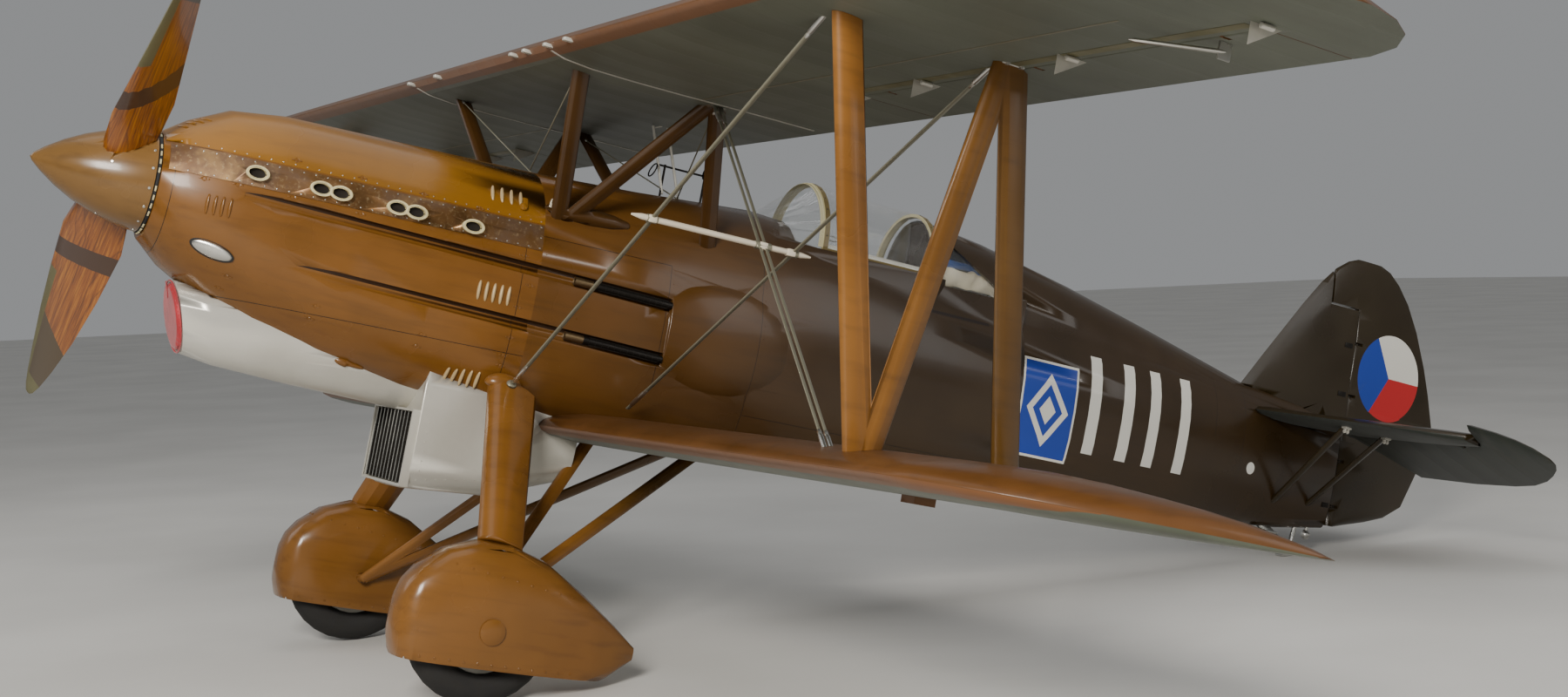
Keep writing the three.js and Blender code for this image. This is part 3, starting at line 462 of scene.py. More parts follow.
class Recipe:
    """The node tree of one material, and the one way to add a node to it."""

    def __init__(self, name: str) -> None:
        """Starts an empty material.

        Args:
            name: The material's name.
        """
        self.material = bpy.data.materials.new(name)
        self.material.use_nodes = True
        self.tree = self.material.node_tree
        self.tree.nodes.clear()

    def add(self, kind: str, inputs: dict | Sequence | None = None, out: int | str = 0,
            **settings: object) -> Socket:
        """Adds a node with its settings and links.

        Args:
            kind: The node's type without its ShaderNode prefix.
            inputs: Values or sockets, by place or by name; None in a list skips one.
            out: The output to return.
            settings: Attributes of the node.

        Returns:
            The chosen output socket.
        """
        node = self.tree.nodes.new("ShaderNode" + kind)
        for key, value in settings.items():
            setattr(node, key, value)
        pairs = inputs.items() if isinstance(inputs, dict) else enumerate(inputs or ())
        for key, value in pairs:
            if value is None:
                continue
            if isinstance(value, Socket):
                self.tree.links.new(value, node.inputs[key])
            else:
                node.inputs[key].default_value = value
        return node.outputs[out] if node.outputs else None

    def math(self, operation: str, *values: Socket | float) -> Socket:
        """The result of a sum, such as "ADD", on some values."""
        return self.add("Math", values, operation=operation)

    def mix(self, share: Socket | float, first: Socket | Point, second: Socket | Point,
            **settings: object) -> Socket:
        """One colour with a share of another."""
        return self.add("MixRGB", (share, first, second), **settings)

    def scaled(self, value: Socket, start: float, end: float, low: float = 0.0,
               high: float = 1.0, **settings: object) -> Socket:
        """A value brought from start and end to low and high."""
        return self.add("MapRange", (value, start, end, low, high), **settings)

    def noise(self, vector: Socket, scale: float, detail: float, **more: float) -> Socket:
        """Fractal noise."""
        return self.add("TexNoise", {"Vector": vector, "Scale": scale, "Detail": detail, **more})

    def stretched(self, vector: Socket, *scale: float) -> Socket:
        """The place scaled along x, u and h."""
        return self.add("Mapping", (vector, (0, 0, 0), (0, 0, 0), scale))

    def level(self) -> tuple[Socket, Socket, Socket, Socket]:
        """The place on the aircraft in its level axes.

        Returns:
            The place as a vector, then its x, u and h.
        """
        where = self.add("TexCoord", out="Object")
        shift = Matrix.Rotation(PARKED_PITCH, 3, "X") @ -NOSE
        vector = self.add("Mapping", (where, shift, (PARKED_PITCH, 0, 0)))
        parts = self.add("SeparateXYZ", (vector,)).node.outputs
        return vector, parts[0], parts[1], parts[2]

    def boxes(self, u: Socket, h: Socket, table: Sequence[Point]) -> Socket:
        """A mask of one inside any of some rectangles.

        Args:
            u: The place along the aircraft.
            h: The height.
            table: The rectangles, each u0, u1, h0 and h1.

        Returns:
            The mask.
        """
        total = None
        for u0, u1, h0, h1 in table:
            a = self.math("COMPARE", u, (u0 + u1) / 2, (u1 - u0) / 2)
            b = self.math("COMPARE", h, (h0 + h1) / 2, (h1 - h0) / 2)
            both = self.math("MULTIPLY", a, b)
            total = both if total is None else self.math("MAXIMUM", total, both)
        return total

    def disc(self, u: Socket, h: Socket, middle: Point, radius: float) -> Socket:
        """A mask of one inside a circle.

        Args:
            u: The place along the aircraft.
            h: The height.
            middle: The circle's middle in u and h.
            radius: Its radius.

        Returns:
            The mask.
        """
        flat = self.add("CombineXYZ", (u, h, 0.0))
        away = self.add("VectorMath", (flat, (*middle, 0.0)), out="Value", operation="DISTANCE")
        return self.math("LESS_THAN", away, radius)

    def speckle(self, vector: Socket, scale: float, detail: float = 4, low: float = 0.35,
                high: float = 0.65) -> Socket:
        """Soft noise between nought and one, where low and high are the noise that give them."""
        return self.scaled(self.noise(vector, scale, detail), low, high)

    def stops(self, value: Socket, *stops: tuple[float, str]) -> Socket:
        """A colour that follows a value.

        Args:
            value: The value.
            stops: The first and the last stop and then those between, each a value and a colour.

        Returns:
            The colour.
        """
        tone = self.add("ValToRGB", (value,))
        band = tone.node.color_ramp
        for element, (position, _) in zip(band.elements, stops):
            element.position = position
        for position, _ in stops[2:]:
            band.elements.new(position)
        for element, (_, code) in zip(band.elements, sorted(stops)):
            element.color = linear(code)
        return tone

    def bump(self, height: Socket, distance: float, strength: float = 1.0,
             under: Socket | None = None) -> Socket:
        """A normal bent by a height, on top of another normal.

        Args:
            height: The height from nought to one.
            distance: What one stands for, in metres.
            strength: How much of it shows.
            under: The normal below.

        Returns:
            The normal.
        """
        return self.add("Bump", {"Height": height, "Distance": distance, "Strength": strength,
                                 "Normal": under})

    def surface(self, **sockets: object) -> Look:
        """Closes the material with its shader.

        Args:
            sockets: The shader's inputs, with _ for a space.

        Returns:
            The material.
        """
        inputs = {key.replace("_", " "): value for key, value in sockets.items()}
        self.add("OutputMaterial", (self.add("BsdfPrincipled", inputs),))
        return self.material


@dataclass(frozen=True)
class GlossPaint:
    """Khaki-brown gloss enamel, sprayed on sheet and doped fabric and polished.

    It gives a deep warm colour that darkens aft as painted shade, where the light falls off, a
    soft clear highlight, faint orange peel, and dark hairlines where the panels meet.
    """

    name: str
    # fore is the colour near the nose, and aft is the painted shade that it darkens to where the
    # light falls off.
    fore: str = "694419"
    aft: str = "32230e"
    dirt: str = "2a1c10"
    rough: float = 0.3
    seams: tuple = ()
    marked: bool = False
    # The u where the painted shade sets in and the u where it is full.
    painted_falloff: tuple[float, float] = (1.3, 4.2)

    def make(self) -> Look:
        """Builds the material.

        Returns:
            The material.
        """
        r = Recipe(self.name)
        vector, _, u, h = r.level()
        # The colour goes from fore to aft along u: painted shade where the light falls off.
        run = r.scaled(u, *self.painted_falloff, interpolation_type="SMOOTHSTEP")
        base = r.mix(run, linear(self.fore), linear(self.aft))
        cloud = r.speckle(vector, 1.7)
        base = r.mix(0.16, base, cloud, blend_type="OVERLAY")
        # Dust and oil film run aft in streaks a few centimetres wide.
        streak = r.speckle(r.stretched(vector, 9, 1.1, 14), 2.0, 6, 0.5, 0.78)
        base = r.mix(r.math("MULTIPLY", streak, 0.3), base, linear(self.dirt))
        normal = r.bump(r.noise(vector, 260.0, 2.0), 0.0006, 0.12)
        normal = r.bump(r.noise(vector, 5.0, 1.0), 0.01, 0.16, normal)
        rough = r.scaled(cloud, 0.0, 1.0, self.rough - 0.05, self.rough + 0.1)
        if self.seams:
            lines = r.boxes(u, h, self.seams)
            base = r.mix(lines, base, linear("20150c"))
            normal = r.bump(r.math("SUBTRACT", 1.0, lines), 0.002, 0.8, normal)
        if self.marked:
            base, rough = Markings().paint(r, u, h, base, rough)
        return r.surface(Base_Color=base, Roughness=rough, Normal=normal, Coat_Weight=0.2,
                         Coat_Roughness=0.12, Specular_IOR_Level=0.32, IOR=1.5)


@dataclass(frozen=True)
class Markings:
    """The bars, the framed panel and the disc on the fuselage, and the rudder's roundel."""

    white: str = "d9d6cc"
    blue: str = "1d3c9a"
    red: str = "b81f22"
    bars: tuple = (5.37, 5.61, 5.81, 6.045)
    bar_width: float = 0.078
    bar_ends: tuple[float, float] = (-0.34, 0.18)
    panel: tuple = (4.9, 5.28, -0.415, 0.095)
    border: float = 0.013
    diamond_slope: float = 1.35
    diamond_ring: tuple[float, float] = (0.165, 0.028)
    diamond_heart: float = 0.075
    spot: tuple[float, float] = (6.662, -0.22)
    spot_radius: float = 0.034
    roundel: tuple[float, float] = (7.735, 0.485)
    roundel_radius: float = 0.258

    def paint(self, r: Recipe, u: Socket, h: Socket, base: Socket,
              rough: Socket) -> tuple[Socket, Socket]:
        """Paints the markings over a coat.

        Args:
            r: The material in the making.
            u: The place along the aircraft.
            h: The height.
            base: The colour under the markings.
            rough: The roughness under them.

        Returns:
            The colour and roughness with the markings.
        """
        white, blue, red = linear(self.white), linear(self.blue), linear(self.red)
        bars = [(a, a + self.bar_width, *self.bar_ends) for a in self.bars]
        frame = r.boxes(u, h, [self.panel, *bars])
        disc = r.disc(u, h, self.spot, self.spot_radius)
        base = r.mix(r.math("MAXIMUM", frame, disc), base, white)
        u0, u1, h0, h1 = self.panel
        edge = self.border
        field = r.boxes(u, h, [(u0 + edge, u1 - edge, h0 + edge, h1 - edge)])
        base = r.mix(field, base, blue)
        off_u = r.math("ABSOLUTE", r.math("SUBTRACT", u, (u0 + u1) / 2))
        off_h = r.math("ABSOLUTE", r.math("SUBTRACT", h, (h0 + h1) / 2))
        slope = r.math("MULTIPLY_ADD", off_u, self.diamond_slope, off_h)
        lozenge = r.math("COMPARE", slope, *self.diamond_ring)
        heart = r.math("LESS_THAN", slope, self.diamond_heart)
        motif = r.math("MAXIMUM", lozenge, heart)
        base = r.mix(r.math("MULTIPLY", motif, field), base, white)
        # The roundel is three even sectors, blue ahead, white above and red below.
        roundel = r.disc(u, h, self.roundel, self.roundel_radius)
        du = r.math("SUBTRACT", u, self.roundel[0])
        dh = r.math("SUBTRACT", h, self.roundel[1])
        angle = r.math("ABSOLUTE", r.math("ARCTAN2", dh, du))
        ahead = r.math("GREATER_THAN", angle, math.radians(120))
        sector = r.mix(ahead, r.mix(r.math("GREATER_THAN", dh, 0.0), red, white), blue)
        base = r.mix(roundel, base, sector)
        marked = r.math("MAXIMUM", roundel, frame)
        return base, r.mix(marked, rough, (0.42, 0.42, 0.42, 1.0))


@dataclass(frozen=True)
class DopedFabric:
    """Linen pulled tight over ribs and doped matt grey-green, a dark tone that is partly painted
    shade under the wings.

    Rib tapes stand a millimetre proud every rib pitch, the cloth sags a little between them, and
    the brown of the upper side runs round the leading edge in a band.
    """

    name: str
    # A dark grey-green: partly the dope and partly painted shade under the wings.
    tone: str = "454a3c"
    light: str = "565b4c"
    edge: str = "6a411b"
    pitch: float = 0.24
    lead: float = 1.823
    band: float = 0.06
    half: float = 4.7
    sweep: float = 0.95
    rough: float = 0.52

    def make(self) -> Look:
        """Builds the material.

        Returns:
            The material.
        """
        r = Recipe(self.name)
        vector, x, u, _ = r.level()
        base = r.mix(r.speckle(vector, 1.2, 6), linear(self.tone), linear(self.light))
        stain = r.speckle(r.stretched(vector, 10, 1.2, 1), 1.4, 5, 0.5, 0.8)
        base = r.mix(r.math("MULTIPLY", stain, 0.35), base, linear("3a3628"))
        rib = r.math("PINGPONG", x, self.pitch / 2)
        tape = r.scaled(rib, 0.011, 0.017, 1.0, 0.0)
        hollow = r.scaled(rib, 0.0, self.pitch / 2, 1.0, 0.0, interpolation_type="SMOOTHSTEP")
        normal = r.bump(hollow, 0.003, 0.5)
        normal = r.bump(tape, 0.001, 0.4, normal)
        # Thread is drawn 3 mm coarse, so that it shows at all.
        normal = r.bump(r.noise(vector, 330.0, 2.0), 0.0004, 0.25, normal)
        base = r.mix(r.math("MULTIPLY", tape, 0.16), base, linear(self.light))
        if self.band:
            # The leading edge sweeps back to the tip as a quarter of an ellipse.
            reach = r.math("ABSOLUTE", x)
            share = r.scaled(reach, self.half - self.sweep, self.half)
            rest = r.add("Math", (1.0, r.math("MULTIPLY", share, share)), operation="SUBTRACT",
                         use_clamp=True)
            edge = r.scaled(r.math("SQRT", rest), 1.0, 0.0, self.lead, self.lead + 1.0)
            near = r.math("LESS_THAN", u, r.math("ADD", edge, self.band))
            base = r.mix(near, base, linear(self.edge))
        return r.surface(Base_Color=base, Roughness=self.rough, Normal=normal, Sheen_Weight=0.08,
                         IOR=1.48)


@dataclass(frozen=True)
class Metal:
    """Sheet, cast or drawn metal: its colour, tarnish and the scratches of use.

    Fine brush lines lie along the aircraft, and blotches of oxide change the shine.
    """

    name: str
    tone: str
    stain: str
    rough: float = 0.35
    metallic: float = 1.0
    blotch: float = 6.0
    mixed: float = 0.5
    grain: float = 0.25

    def make(self) -> Look:
        """Builds the material.

        Returns:
            The material.
        """
        r = Recipe(self.name)
        vector = r.level()[0]
        cloud = r.speckle(vector, self.blotch, 6, 0.38, 0.7)
        base = r.mix(r.math("MULTIPLY", cloud, self.mixed), linear(self.tone), linear(self.stain))
        scratch = r.noise(r.stretched(vector, 90, 6, 90), 6.0, 4.0)
        rough = r.scaled(cloud, 0.0, 1.0, self.rough, min(1.0, self.rough + 0.22))
        normal = r.bump(scratch, 0.0006, self.grain)
        return r.surface(Base_Color=base, Roughness=rough, Metallic=self.metallic, Normal=normal)


@dataclass(frozen=True)
class HeatedSteel:
    """Stainless sheet beside the exhausts, blued and browned by heat.

    Straw, copper and purple clouds lie in it, with fine bright scuffs.
    """

    name: str = "heated_steel"

    def make(self) -> Look:
        """Builds the material.

        Returns:
            The material.
        """
        r = Recipe(self.name)
        vector = r.level()[0]
        cloud = r.noise(vector, 4.5, 7.0, Roughness=0.6)
        tone = r.stops(cloud, (0.3, "604528"), (0.72, "a08055"), (0.45, "7d5a35"), (0.58, "775d48"))
        fine = r.speckle(vector, 60.0, 6, 0.55, 0.75)
        base = r.mix(r.math("MULTIPLY", fine, 0.5), tone, linear("b9a27a"))
        return r.surface(Base_Color=base, Roughness=r.scaled(cloud, 0.3, 0.7, 0.3, 0.52),
                         Metallic=0.75, Normal=r.bump(fine, 0.0006, 0.3))


@dataclass(frozen=True)
class LaminatedWood:
    """Planks of varnished walnut and birch glued face to face and carved to the blade.

    The grain runs along the blade and the glue lines show as fine stripes; two scorched-brown
    bands and dark olive tips are painted on.
    """

    name: str = "laminated_wood"

    def make(self) -> Look:
        """Builds the material.

        Returns:
            The material.
        """
        r = Recipe(self.name)
        blade = r.add("Mapping", (r.level()[0], (0, 0, 0), (0, -BLADE_TURN, 0)))
        across, _, along = r.add("SeparateXYZ", (blade,)).node.outputs
        radius = r.math("ABSOLUTE", along)
        grain = r.noise(r.stretched(blade, 55, 120, 3), 1.0, 8.0, Roughness=0.62, Distortion=0.4)
        tone = r.stops(grain, (0.33, "5c2f0a"), (0.68, "a8691c"), (0.5, "864a10"))
        glue = r.scaled(r.math("PINGPONG", across, 0.012), 0.0, 0.0016, 0.55, 0.0)
        base = r.mix(glue, tone, linear("41200a"))
        slant = r.math("MULTIPLY_ADD", across, 0.45, radius)
        base = r.mix(r.math("COMPARE", slant, 0.52, 0.055), base, linear("3d2616"))
        tip = r.math("MULTIPLY_ADD", across, -0.8, radius)
        base = r.mix(r.math("GREATER_THAN", tip, 1.02), base, linear("46361d"))
        return r.surface(Base_Color=base, Roughness=0.3, Normal=r.bump(grain, 0.0005, 0.3),
                         Coat_Weight=0.6, Coat_Roughness=0.1, IOR=1.5)


@dataclass(frozen=True)
class Cloth:
    """Woven cloth or leather with a raised grain: its colour, weave and creases."""

    name: str
    tone: str
    shade: str
    scale: float = 400.0
    relief: float = 0.5
    rough: float = 0.8
    sheen: float = 0.2

    def make(self) -> Look:
        """Builds the material.

        Returns:
            The material.
        """
        r = Recipe(self.name)
        vector = r.level()[0]
        base = r.mix(r.speckle(vector, 9.0, 5), linear(self.tone), linear(self.shade))
        weave = r.add("TexVoronoi", {"Vector": vector, "Scale": self.scale})
        normal = r.bump(r.noise(vector, 14.0, 5.0), 0.004, 0.35)
        normal = r.bump(weave, 0.0008, self.relief, normal)
        return r.surface(Base_Color=base, Roughness=self.rough, Normal=normal,
                         Sheen_Weight=self.sheen)


@dataclass(frozen=True)
class ClearSheet:
    """Bent acrylic sheet: clear, faintly yellowed, with polishing scratches."""

    name: str = "clear_sheet"
    tone: str = "dfe5df"

    def make(self) -> Look:
        """Builds the material.

        Returns:
            The material.
        """
        r = Recipe(self.name)
        haze = r.speckle(r.level()[0], 40.0, 6, 0.5, 0.8)
        return r.surface(Base_Color=linear(self.tone),
                         Roughness=r.scaled(haze, 0.0, 1.0, 0.02, 0.09),
                         Transmission_Weight=0.94, IOR=1.49, Alpha=0.12)


class Looks:
    """Every material of the aircraft, made once."""

    def __init__(self) -> None:
        """Builds all finishes."""
        hair = 0.0025
        cowl_seams = (
            (0.65, 2.17, -0.432, -0.432 + hair), (2.09, 2.09 + hair, -0.62, 0.05),
            (0.545, 0.545 + hair, -0.4, 0.17),
        )
        hull_seams = (
            (2.81, 2.81 + hair, -0.45, 0.12), (2.17, 2.81, 0.12, 0.12 + hair),
            (3.3, 3.3 + hair, -0.7, 0.38), (3.3, 4.9, -0.5, -0.5 + hair),
            (4.28, 4.67, 0.2, 0.216), (6.33, 6.33 + hair, -0.1, 0.3),
            (6.565, 6.565 + hair, -0.36, 0.2),
        )
        self.cowl = self.paint("cowl", "724a1a", "6f461a", seams=cowl_seams)
        self.ochre = self.paint("ochre", "82581a", "7c531c", rough=0.25, dirt="5b3b18")
        # The hull keeps the default fore and aft colours and darkens to near black-brown aft:
        # painted shade where the light falls off.
        self.hull = GlossPaint("hull_enamel", seams=hull_seams, marked=True).make()
        # Near black on the downward walls of the gun troughs: painted shade, and partly powder
        # stain.
        self.trough_shade_and_soot = self.paint("trough_shade_and_soot_stain", "2c1a0b", "241709", rough=0.5)
        # The struts darken over a short run aft: painted shade, so the rear struts look less lit
        # than the front ones.
        self.strut = self.paint("strut", "7b5120", "543a16", painted_falloff=(2.3, 3.0))
        # A darker copy of the strut enamel: painted shade under the upper wing.
        self.cabane = self.paint("cabane", "432c12")
        # A near-black copy of the khaki: painted shade, like the hull's aft end where the light
        # falls off.
        self.shaded_tail_paint = self.paint("tail", "291f0b", marked=True)
        self.spinner = self.paint("spinner", "73542b", rough=0.26)
        self.spat = self.paint("spat", "714b1f", rough=0.18)
        self.wing_top = self.paint("wing_top", "5c3a18", rough=0.4)
        self.olive = self.paint("hood_olive", "6d5d31", rough=0.35)
        self.wing_under = DopedFabric("wing_under_dope_and_shade").make()
        self.lower_under = DopedFabric("lower_under_dope_and_shade", lead=2.351, half=4.14).make()
        # The tailplane's underside is doped almost black: painted shade, darker than the wings'
        # underside.
        self.tailplane_underside_shade = DopedFabric("tailplane_underside_shade_dope", "171d16", "20271e", band=0.0,
                                      pitch=0.2).make()
        self.duct = Metal("silver_dope", "cbc8be", "a5a194", 0.3, 0.42, 2.5).make()
        self.rim = Metal("baked_enamel_rim", "d8cc9d", "8f7c50", 0.5, 0.1, 30).make()
        self.bright = Metal("plated_steel", "c9c8c2", "8d8a80", 0.26, mixed=0.3).make()
        self.wire = Metal("streamline_wire", "8d8a78", "7b7763", 0.42, 0.6, grain=0.03).make()
        self.rod = Metal("spacer_rod_enamel", "d6ccb8", "c4b8a0", 0.4, 0.1, grain=0.03).make()
        self.gun = Metal("blued_steel", "2e2b28", "17140f", 0.38, 0.9).make()
        self.muzzle = Metal("worn_steel", "9b8463", "4a3a26", 0.3).make()
        self.soot = Metal("sooted_steel", "221c17", "0e0c0a", 0.7, 0.4).make()
        self.sheath = Metal("edge_sheath", "6f6b4c", "57523a", 0.42, 0.25).make()
        self.rubber = Metal("tyre_rubber_black", "1b1a19", "2e2c29", 0.8, 0.0, 20).make()
        self.hub = Metal("hub_enamel", "8e8c84", "5c5a52", 0.45, 0.5).make()
        # A grey lightened as painted light, so that the seat and head panel read pale although they
        # are in shade.
        self.interior_painted_light = Metal("interior_grey_painted_light", "a3b0b5", "8a969a", 0.55, 0.1).make()
        self.cream = Metal("cream_enamel", "cdc49a", "a79c70", 0.4, 0.05).make()
        # Pale lips for the louvres: a painted highlight where the lips catch the light.
        self.lip = Metal("louvre_lip_painted_highlight", "b79f74", "8a7048", 0.35, 0.2).make()
        self.black = Metal("black_crackle", "17181a", "26272a", 0.62, 0.1).make()
        self.red = Cloth("red_vinyl", "b0222c", "8d1820", 220, rough=0.55).make()
        self.leather = Cloth("seat_hide", "4a2e1c", "2f1d12", 300, rough=0.5, sheen=0.0).make()
        self.canvas = Cloth("cream_wool", "d8ceb4", "b9ad90", 260).make()
        self.blue_wool = Cloth("blue_wool", "2d4f8e", "1d3566", 260).make()
        self.webbing = Cloth("strap_webbing", "8a7d5c", "6a5f44", 500).make()
        self.heated = HeatedSteel().make()
        self.wood = LaminatedWood().make()
        self.glass = ClearSheet().make()

    @staticmethod
    def paint(name: str, fore: str, aft: str = "", **options: object) -> Look:
        """One gloss enamel, in a single colour where no second one is given."""
        return GlossPaint(name + "_enamel", fore=fore, aft=aft or fore, **options).make()


# Skins: smooth copies of the solids


@dataclass(frozen=True)
class Skin:
    """A smooth, welded copy of one solid in its real finish."""

    node: str
    look: Look
    angle: float

    def make(self) -> Piece:
        """Copies the solid, welds it and puts the copy in its place.

        Returns:
            The skin.
        """
        source = bpy.data.objects[self.node]
        piece = bpy.data.objects.new(self.node + "_skin", source.data.copy())
        piece.data.name = piece.name
        bpy.context.scene.collection.objects.link(piece)
        weld = (bpy.ops.mesh.remove_doubles, {"threshold": 0.00002})
        shape(piece, None, weld, part=Part.POINTS)
        piece.data.materials.clear()
        piece.data.materials.append(self.look)
        smooth(piece, self.angle)
        modify(piece, "WEIGHTED_NORMAL", keep_sharp=True, weight=80)
        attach(piece, source["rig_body"])
        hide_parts(self.node)
        return piece


def second_look(piece: Piece, look: Look, where: Test) -> None:
    """Gives the faces that a test accepts a second material.

    Args:
        piece: The piece, in its final place.
        look: The second material.
        where: Takes a face's middle and normal in level axes.
    """
    piece.data.materials.append(look)
    index = len(piece.data.materials) - 1
    turn = TO_LEVEL.to_3x3()
    for face in piece.data.polygons:
        if where(TO_LEVEL @ face.center, turn @ face.normal):
            face.material_index = index


def is_below(middle: Vector, normal: Vector) -> bool:
    """Whether a face looks down."""
    return normal.z < -0.02


def is_outside_hood(middle: Vector, normal: Vector) -> bool:
    """Whether a face of the hood's frame looks out."""
    return normal.x * middle.x * 1.6 + normal.z * (middle.z - 0.42) > 0.16


def is_stub_wall(middle: Vector, normal: Vector) -> bool:
    """Whether a face of an exhaust panel is the side of a stub."""
    return abs(normal.x) < 0.75 and abs(middle.x) > 0.3 and 0.07 < middle.z < 0.14


def is_trough_roof(middle: Vector, normal: Vector) -> bool:
    """Whether a face of the hull is the upper wall of a gun trough, painted dark
    as shade under the trough's lip and as powder stain.

    Args:
        middle: The face's middle in level axes.
        normal: Its normal.

    Returns:
        True for a face that looks down inside a trough.
    """
    for front, back, high, low in ((0.83, 2.84, 0.008, -0.066), (1.09, 2.84, -0.25, -0.32)):
        share = (middle.y - front) / (back - front)
        if 0 < share < 1 and abs(middle.z - high - (low - high) * share) < 0.055:
            return normal.z < -0.5 and abs(middle.x) > 0.3
    return False


def is_sheathed(middle: Vector, normal: Vector) -> bool:
    """Whether a face of the propeller lies under the metal of a leading edge or a tip.

    Args:
        middle: The face's middle in level axes.
        normal: Its normal, which doesn't matter.

    Returns:
        True for a face in the outer leading edge.
    """
    chords = ((0.4, 0.290), (0.7, 0.284), (1.0, 0.25), (1.25, 0.182), (1.4, 0.122), (1.51, 0.034))
    pitch, plane, root, tip, share = 4.6, 0.348, 0.6, 1.42, 0.27
    sine, cosine = 0.757, 0.653
    out = middle.x * sine + middle.z * cosine
    radius = abs(out)
    if not root <= radius <= tip:
        return radius > tip
    twist = math.atan(pitch / (2 * math.pi * radius))
    across = (middle.x * cosine - middle.z * sine) * math.copysign(math.cos(twist), out)
    ahead = (plane - middle.y) * math.sin(twist)
    return across + ahead > share * read_off(chords, radius)


@dataclass
class Airframe:
    """All solids in their finishes.

    Edges sharper than its angles in degrees stay hard, with a wider one for rounded solids.
    """

    looks: Looks
    hard_angle: float = 32.0
    round_angle: float = 58.0

    def plan(self) -> dict[str, Look]:
        """Chooses a finish for every solid.

        Returns:
            The finish of each node.
        """
        k = self.looks
        plan = {
            "engine_cowl": k.cowl, "cowl_top": k.ochre, "chin_duct": k.duct, "radiator": k.duct,
            "fuselage_mid": k.hull, "fuselage_rear": k.hull, "fin": k.shaded_tail_paint,
            "rudder": k.shaded_tail_paint, "tailplane": k.shaded_tail_paint, "elevator_left": k.shaded_tail_paint,
            "elevator_right": k.shaded_tail_paint, "elevator_tube": k.bright,
            "wing_upper_centre": k.wing_top, "canopy_frame": k.cream, "canopy_glass": k.glass,
            "windscreen": k.glass, "propeller": k.wood, "spinner": k.spinner,
            "tail_skid": k.bright, "seat": k.interior_painted_light, "control_column": k.black,
            "instrument_panel": k.black, "gunsight": k.gun,
        }
        pairs = {
            "exhaust_panel": k.heated, "wing_upper": k.wing_top, "aileron": k.wing_top,
            "wing_lower": k.wing_top, "cabane_struts": k.cabane, "interplane_struts": k.strut,
            "stays": k.wire, "tail_strut_front": k.shaded_tail_paint, "tail_strut_rear": k.shaded_tail_paint,
            "gun_upper": k.gun, "gun_lower": k.gun, "side_window": k.glass, "spat": k.spat,
            "gear_leg": k.strut, "half_axle": k.strut, "tyre": k.rubber, "wheel_hub": k.hub,
        }
        for side in SIDES:
            plan |= {f"{node}_{side}": look for node, look in pairs.items()}
        return plan

    def dress(self) -> None:
        """Puts a skin on every solid, and a second finish on some of its faces.
        """
        k = self.looks
        seconds = (
            (("wing_upper", "aileron"), k.wing_under, is_below),
            ("wing_lower", k.lower_under, is_below),
            (("tailplane", "elevator_l", "elevator_r"), k.tailplane_underside_shade, is_below),
            # The troughs' upper walls get painted shade with some powder stain.
            (("engine_cowl", "fuselage_mid"), k.trough_shade_and_soot, is_trough_roof),
            ("propeller", k.sheath, is_sheathed),
            ("canopy_frame", k.olive, is_outside_hood),
            ("exhaust_panel", k.soot, is_stub_wall),
        )
        round_ones = ("gear_leg", "interplane", "cabane", "tail_strut", "half_axle", "stays")
        plan = self.plan()
        for node, look in plan.items():
            angle = self.round_angle if node.startswith(round_ones) else self.hard_angle
            piece = Skin(node, look, angle).make()
            for names, second, where in seconds:
                if node.startswith(names):
                    second_look(piece, second, where)
        log.info("dressed %d solids", len(plan))


# Small parts, each modelled once at the origin with its z outward


def rivet(radius: float) -> Piece:
    """A low domed rivet head."""
    head = blank(Blank.CONE, vertices=8, radius1=radius, radius2=radius * 0.7, depth=radius * 0.5)
    return shape(head, facing("+z"), inset(radius * 0.25), push(radius * 0.12))


def screw(radius: float) -> Piece:
    """A pan-head screw with its slot.

    Args:
        radius: The radius of its head.

    Returns:
        The screw.
    """
    head = blank(Blank.BAR, vertices=12, radius=radius, depth=radius * 0.6)
    shape(head, facing("+z"), inset(radius * 0.2), push(radius * 0.15))
    slot = blank(Blank.BLOCK, (0, 0, radius * 0.46), (radius * 0.8, radius * 0.12, radius * 0.06))
    shape(slot, facing("+z"), inset(radius * 0.02), push(-radius * 0.04))
    return join([head, slot])


def turn_button(radius: float = 0.011) -> Piece:
    """A quarter-turn fastener: a dished washer, a stud and its two ears.

    Args:
        radius: The washer's radius.

    Returns:
        The fastener.
    """
    washer = blank(Blank.BAR, vertices=16, radius=radius, depth=0.002)
    shape(washer, facing("+z"), inset(radius * 0.3), push(-0.0012), inset(radius * 0.2),
          push(0.002))
    ear = blank(Blank.BLOCK, (radius * 1.5, 0, 0.0008), (radius * 0.5, radius * 0.3, 0.0012))
    shape(ear, facing("+z"), inset(0.001), push(0.0006))
    return join([washer, ear, copy_at(ear, Matrix.Rotation(math.pi, 4, "Z"))])


def louvre(length: float, width: float = 0.009, rise: float = 0.008) -> Piece:
    """A pressed louvre: a half scoop along y that opens aft, towards x.

    Args:
        length: Its length along y.
        width: Its half width along x.
        rise: How far it stands out.

    Returns:
        The louvre.
    """
    scoop = ball((width, length / 2, rise), sides=16, rings=10)
    shape(scoop, None, slice_off((0, 0, -0.001), (0, 0, 1), inner=True))
    shape(scoop, None, slice_off((width * 0.35, 0, 0), (1, 0, 0), inner=False))
    return modify(scoop, "SOLIDIFY", thickness=0.0012, offset=1)


